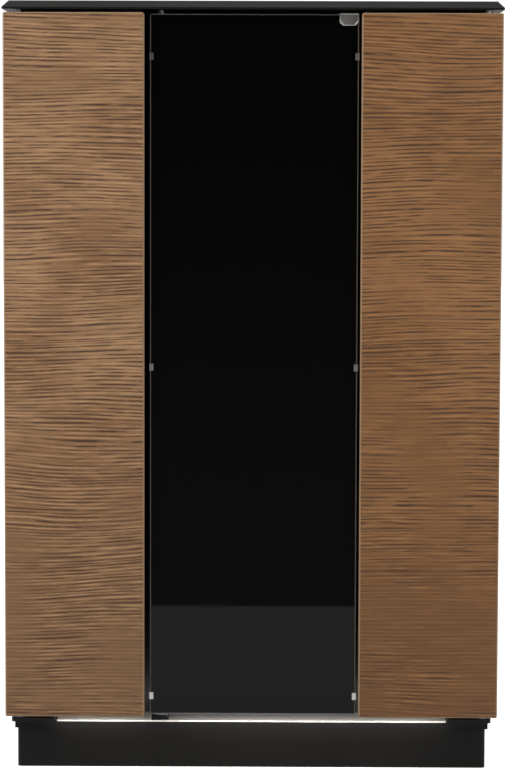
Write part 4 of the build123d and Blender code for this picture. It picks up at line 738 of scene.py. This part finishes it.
def hopper_guard():
    low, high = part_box("hopper")
    guard_z = 0.955
    wall = 1.5 * mm
    frame_wire = 2.2 * mm
    mesh_wire = 1.3 * mm
    end_distance = 5 * mm
    side_distance = 4 * mm
    wire_count = 15
    left, right = low.x + wall, high.x - wall
    front, back = low.y + wall, high.y - wall
    builder = bmesh.new()
    for y in (front + end_distance, back - end_distance):
        add_rod(builder, (left, y, guard_z), (right, y, guard_z), frame_wire)
    side_z = guard_z - frame_wire
    for x in (left + side_distance, right - side_distance):
        add_rod(builder, (x, front, side_z), (x, back, side_z), frame_wire)
    wire_z = guard_z + frame_wire
    for number in range(wire_count):
        x = left + (right - left) * (number + 1) / (wire_count + 1)
        add_rod(builder, (x, front + end_distance, wire_z), (x, back - end_distance, wire_z), mesh_wire)
    for share in (0.25, 0.5, 0.75):
        y = front + (back - front) * share
        add_rod(builder, (left, y, guard_z), (right, y, guard_z), mesh_wire)
    finish_piece("hopper_guard", builder, "stove", steel_wire)


hopper_guard()


# Water side: threads of the two stubs, gauge dial and weld bead


def stub_threads():
    stub_radius = 13.2 * mm
    thread_depth = 0.9 * mm
    thread_pitch = 1.8 * mm
    thread_length = 19 * mm
    start_distance = 19.5 * mm
    return_stub_x = -0.220
    return_stub_z = 0.200
    builder = bmesh.new()
    for name in ("supply_pipe", "return_pipe"):
        low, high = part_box(name)
        x, z = (low.x + high.x) / 2, (low.z + high.z) / 2
        if name == "return_pipe":
            # The return pipe bends, so its stub isn't in the middle of its box
            x, z = return_stub_x, return_stub_z
        start = Vector((x, high.y - start_distance, z))
        add_thread(builder, facing(start, BACK), stub_radius, thread_depth, thread_pitch, thread_length)
    finish_piece("stub_threads", builder, "stove", finishes["brass_fitting"], 20)


stub_threads()


def gauge_dial():
    low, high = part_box("pressure_gauge")
    dial_depth = 2 * mm
    dial_radius = 25.5 * mm
    dial_thickness = 0.5 * mm
    middle = Vector(((low.x + high.x) / 2, low.y + dial_depth, (low.z + high.z) / 2))
    rings = (
        (dial_radius, 0, 0),
        (dial_radius, 0.3 * mm, 0),
        (dial_radius - 0.6 * mm, dial_thickness, 0),
    )
    dial = bmesh.new()
    add_turned(dial, facing(middle, FRONT), rings, 60)
    finish_piece("gauge_dial", dial, "stove", enamel_white)

    first_angle = -225
    mark_step = 13.5
    mark_count = 21
    marks_between = 5
    mark_outer = 22.5 * mm
    face = middle + FRONT * dial_thickness
    marks = bmesh.new()
    for number in range(mark_count):
        angle = radians(first_angle + mark_step * number)
        long_mark = number % marks_between == 0
        mark_inner = (17 if long_mark else 19.5) * mm
        mark_radius = (0.45 if long_mark else 0.28) * mm
        direction = Vector((cos(angle), 0, -sin(angle)))
        add_rod(marks, face + direction * mark_inner, face + direction * mark_outer, mark_radius, 6)

    needle_mark = 8
    needle_tail = 6 * mm
    needle_length = 17 * mm
    needle_radius = 0.6 * mm
    needle_lift = 0.6 * mm
    angle = radians(first_angle + mark_step * needle_mark)
    direction = Vector((cos(angle), 0, -sin(angle)))
    pivot = face + FRONT * needle_lift
    add_rod(marks, pivot - direction * needle_tail, pivot + direction * needle_length, needle_radius, 8)
    hub = ((2.6 * mm, 0, 0), (2.6 * mm, 1.1 * mm, 0), (1.8 * mm, 1.4 * mm, 0))
    add_turned(marks, facing(face, FRONT), hub)
    finish_piece("gauge_marks", marks, "stove", finishes["black_plastic"])


gauge_dial()


def weld_beads():
    low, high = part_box("heat_exchanger")
    bead_radius = 3 * mm
    front_y = low.y + 2 * mm
    corners = [
        Vector((low.x, front_y, low.z)),
        Vector((high.x, front_y, low.z)),
        Vector((high.x, high.y, low.z)),
        Vector((low.x, high.y, low.z)),
    ]
    builder = bmesh.new()
    add_bead(builder, corners, bead_radius)
    finish_piece("weld_beads", builder, "stove", seam_steel)


weld_beads()


# Screws of the fan motor and of the control box


def machine_screws():
    low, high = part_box("fan_motor")
    screw_circle = 24 * mm
    middle = Vector(((low.x + high.x) / 2, high.y, (low.z + high.z) / 2))
    spots = []
    for turn in (45, 135, 225, 315):
        angle = radians(turn)
        spots.append(middle + Vector((screw_circle * cos(angle), 0, screw_circle * sin(angle))))
    screws("fan_motor_screws", spots, BACK, 3 * mm)

    low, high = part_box("control_box")
    inset = 14 * mm
    spots = []
    for y in (low.y + inset, high.y - inset):
        for z in (low.z + inset, high.z - inset):
            spots.append((low.x, y, z))
    screws("control_box_screws", spots, LEFT, 4 * mm)


machine_screws()


# Power inlet: three contact pins in the socket


def socket_pins():
    _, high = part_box("power_inlet")
    inlet_x = 0.220
    inlet_z = 0.135
    pin_depth = 18 * mm
    pin_width = 2 * mm
    pin_height = 5 * mm
    pin_corner = 0.6 * mm
    pin_steps = ((0, 0), (0, 13 * mm), (0.5 * mm, 14 * mm))
    centre = Vector((inlet_x, high.y - pin_depth, inlet_z))
    builder = bmesh.new()
    for across, rise in ((-7 * mm, -2 * mm), (0.0, 3 * mm), (7 * mm, -2 * mm)):
        spot = centre + Vector((across, 0, rise))
        outline = rounded_outline(pin_width, pin_height, pin_corner, 3)
        add_plate(builder, facing(spot, BACK), outline, pin_steps)
    finish_piece("socket_pins", builder, "stove", finishes["nickel"])


socket_pins()


# Camera: fitted to the edges in the photograph, which is taken to be 505 by 768 pixels
photo_width = 505
focal_pixels = 2819
sensor_width = 36.0
camera_place = Vector((0.022, -3.929, 0.799))
camera_yaw = radians(0.34)
camera_pitch = radians(4.56)
camera_roll = radians(0.17)


def make_camera():
    flat = cos(camera_pitch)
    looking = Vector((-sin(camera_yaw) * flat, cos(camera_yaw) * flat, -sin(camera_pitch)))
    level = Vector((cos(camera_yaw), sin(camera_yaw), 0))
    upright = level.cross(looking)
    across = cos(camera_roll) * level + sin(camera_roll) * upright
    over = -sin(camera_roll) * level + cos(camera_roll) * upright
    turned = Matrix((across, over, -looking)).transposed().to_4x4()
    data = bpy.data.cameras.new("camera")
    data.sensor_fit = "HORIZONTAL"
    data.sensor_width = sensor_width
    data.lens = focal_pixels * sensor_width / photo_width
    data.clip_end = 100
    camera = bpy.data.objects.new("camera", data)
    camera.matrix_world = Matrix.Translation(camera_place) @ turned
    scene.collection.objects.link(camera)
    scene.camera = camera


make_camera()


# Floor: a pale sheet that ends in front of the stove. It looks white to the camera.


def path_share(tree, names):
    """One for the named kinds of ray."""
    path = tree.nodes.new("ShaderNodeLightPath")
    share = path.outputs[names[0]]
    for name in names[1:]:
        share = larger(tree, share, path.outputs[name])
    return share


def make_floor():
    front_edge = -1.68
    back_edge = 14.0
    half = 12.0
    mirrored_level = 0.60
    material, tree, shader = new_finish("floor_paper")
    shader.inputs["Base Color"].default_value = (0.45, 0.45, 0.45, 1.0)
    shader.inputs["Roughness"].default_value = 0.9
    shader.inputs["Specular IOR Level"].default_value = 0.0
    shader.inputs["Emission Color"].default_value = (1.0, 1.0, 1.0, 1.0)
    mirrored = path_share(tree, ("Is Glossy Ray", "Is Transmission Ray"))
    seen = path_share(tree, ("Is Camera Ray",))
    strength = plus(tree, seen, times(tree, mirrored, mirrored_level))
    put(tree, shader.inputs["Emission Strength"], strength)
    mesh = bpy.data.meshes.new("floor")
    corners = [(-half, front_edge, 0), (half, front_edge, 0), (half, back_edge, 0), (-half, back_edge, 0)]
    mesh.from_pydata(corners, [], [(0, 1, 2, 3)])
    mesh.materials.append(material)
    floor = bpy.data.objects.new("floor", mesh)
    scene.collection.objects.link(floor)


make_floor()


# World: a bright room behind the stove, and a dim one in front of it that the black glass mirrors


def make_world():
    back_level = 0.75
    world = bpy.data.worlds.new("studio")
    world.use_nodes = True
    scene.world = world
    tree = world.node_tree
    background = tree.nodes["Background"]
    coordinates = tree.nodes.new("ShaderNodeTexCoord")
    _, y, z = axes(tree, coordinates.outputs["Generated"])
    front_level = remap(tree, z, -0.16, 0.05, 0.22, 0.045)
    behind = remap(tree, y, -0.75, 0.35)
    from_back = times(tree, behind, back_level)
    from_front = times(tree, minus(tree, 1.0, behind), front_level)
    studio = plus(tree, from_back, from_front)
    back_half = remap(tree, y, 0.0, 0.3)
    mirrored = times(tree, path_share(tree, ("Is Glossy Ray", "Is Transmission Ray")), back_half)
    white = larger(tree, path_share(tree, ("Is Camera Ray",)), mirrored)
    strength = plus(tree, times(tree, white, minus(tree, 1.0, studio)), studio)
    background.inputs["Color"].default_value = (1.0, 1.0, 1.0, 1.0)
    put(tree, background.inputs["Strength"], strength)


make_world()


# Lamps: a large soft key to the front left, a weaker fill to the right, a top and a back light


def soft_light(name, spot, target, width, height, power, colour):
    data = bpy.data.lights.new(name, "AREA")
    data.shape = "RECTANGLE"
    data.size = width
    data.size_y = height
    data.energy = power
    data.color = colour
    light = bpy.data.objects.new(name, data)
    aim = (Vector(target) - Vector(spot)).to_track_quat("-Z", "Y")
    light.matrix_world = Matrix.Translation(Vector(spot)) @ aim.to_matrix().to_4x4()
    scene.collection.objects.link(light)


white = (1.0, 1.0, 1.0)
warm_white = (1.0, 0.985, 0.96)
warmer_white = (1.0, 0.97, 0.93)
stove_middle = (0, -0.1, 0.55)
soft_light("key_light", (-1.9, -2.0, 2.0), stove_middle, 1.3, 1.3, 48, warm_white)
soft_light("fill_light", (2.1, -2.3, 1.7), stove_middle, 1.3, 1.3, 34, warmer_white)
soft_light("top_light", (0, 0.2, 3.0), stove_middle, 1.6, 1.6, 14, white)
soft_light("back_light", (0.8, 3.2, 1.9), stove_middle, 1.6, 1.6, 22, white)

# A low strip lamp that fills the shadow between the door bottoms and the base plate
soft_light("gap_light", (0, -0.292, 0.0745), (0, -0.245, 0.060), 0.56, 0.004, 0.30, (1.0, 0.98, 0.96))
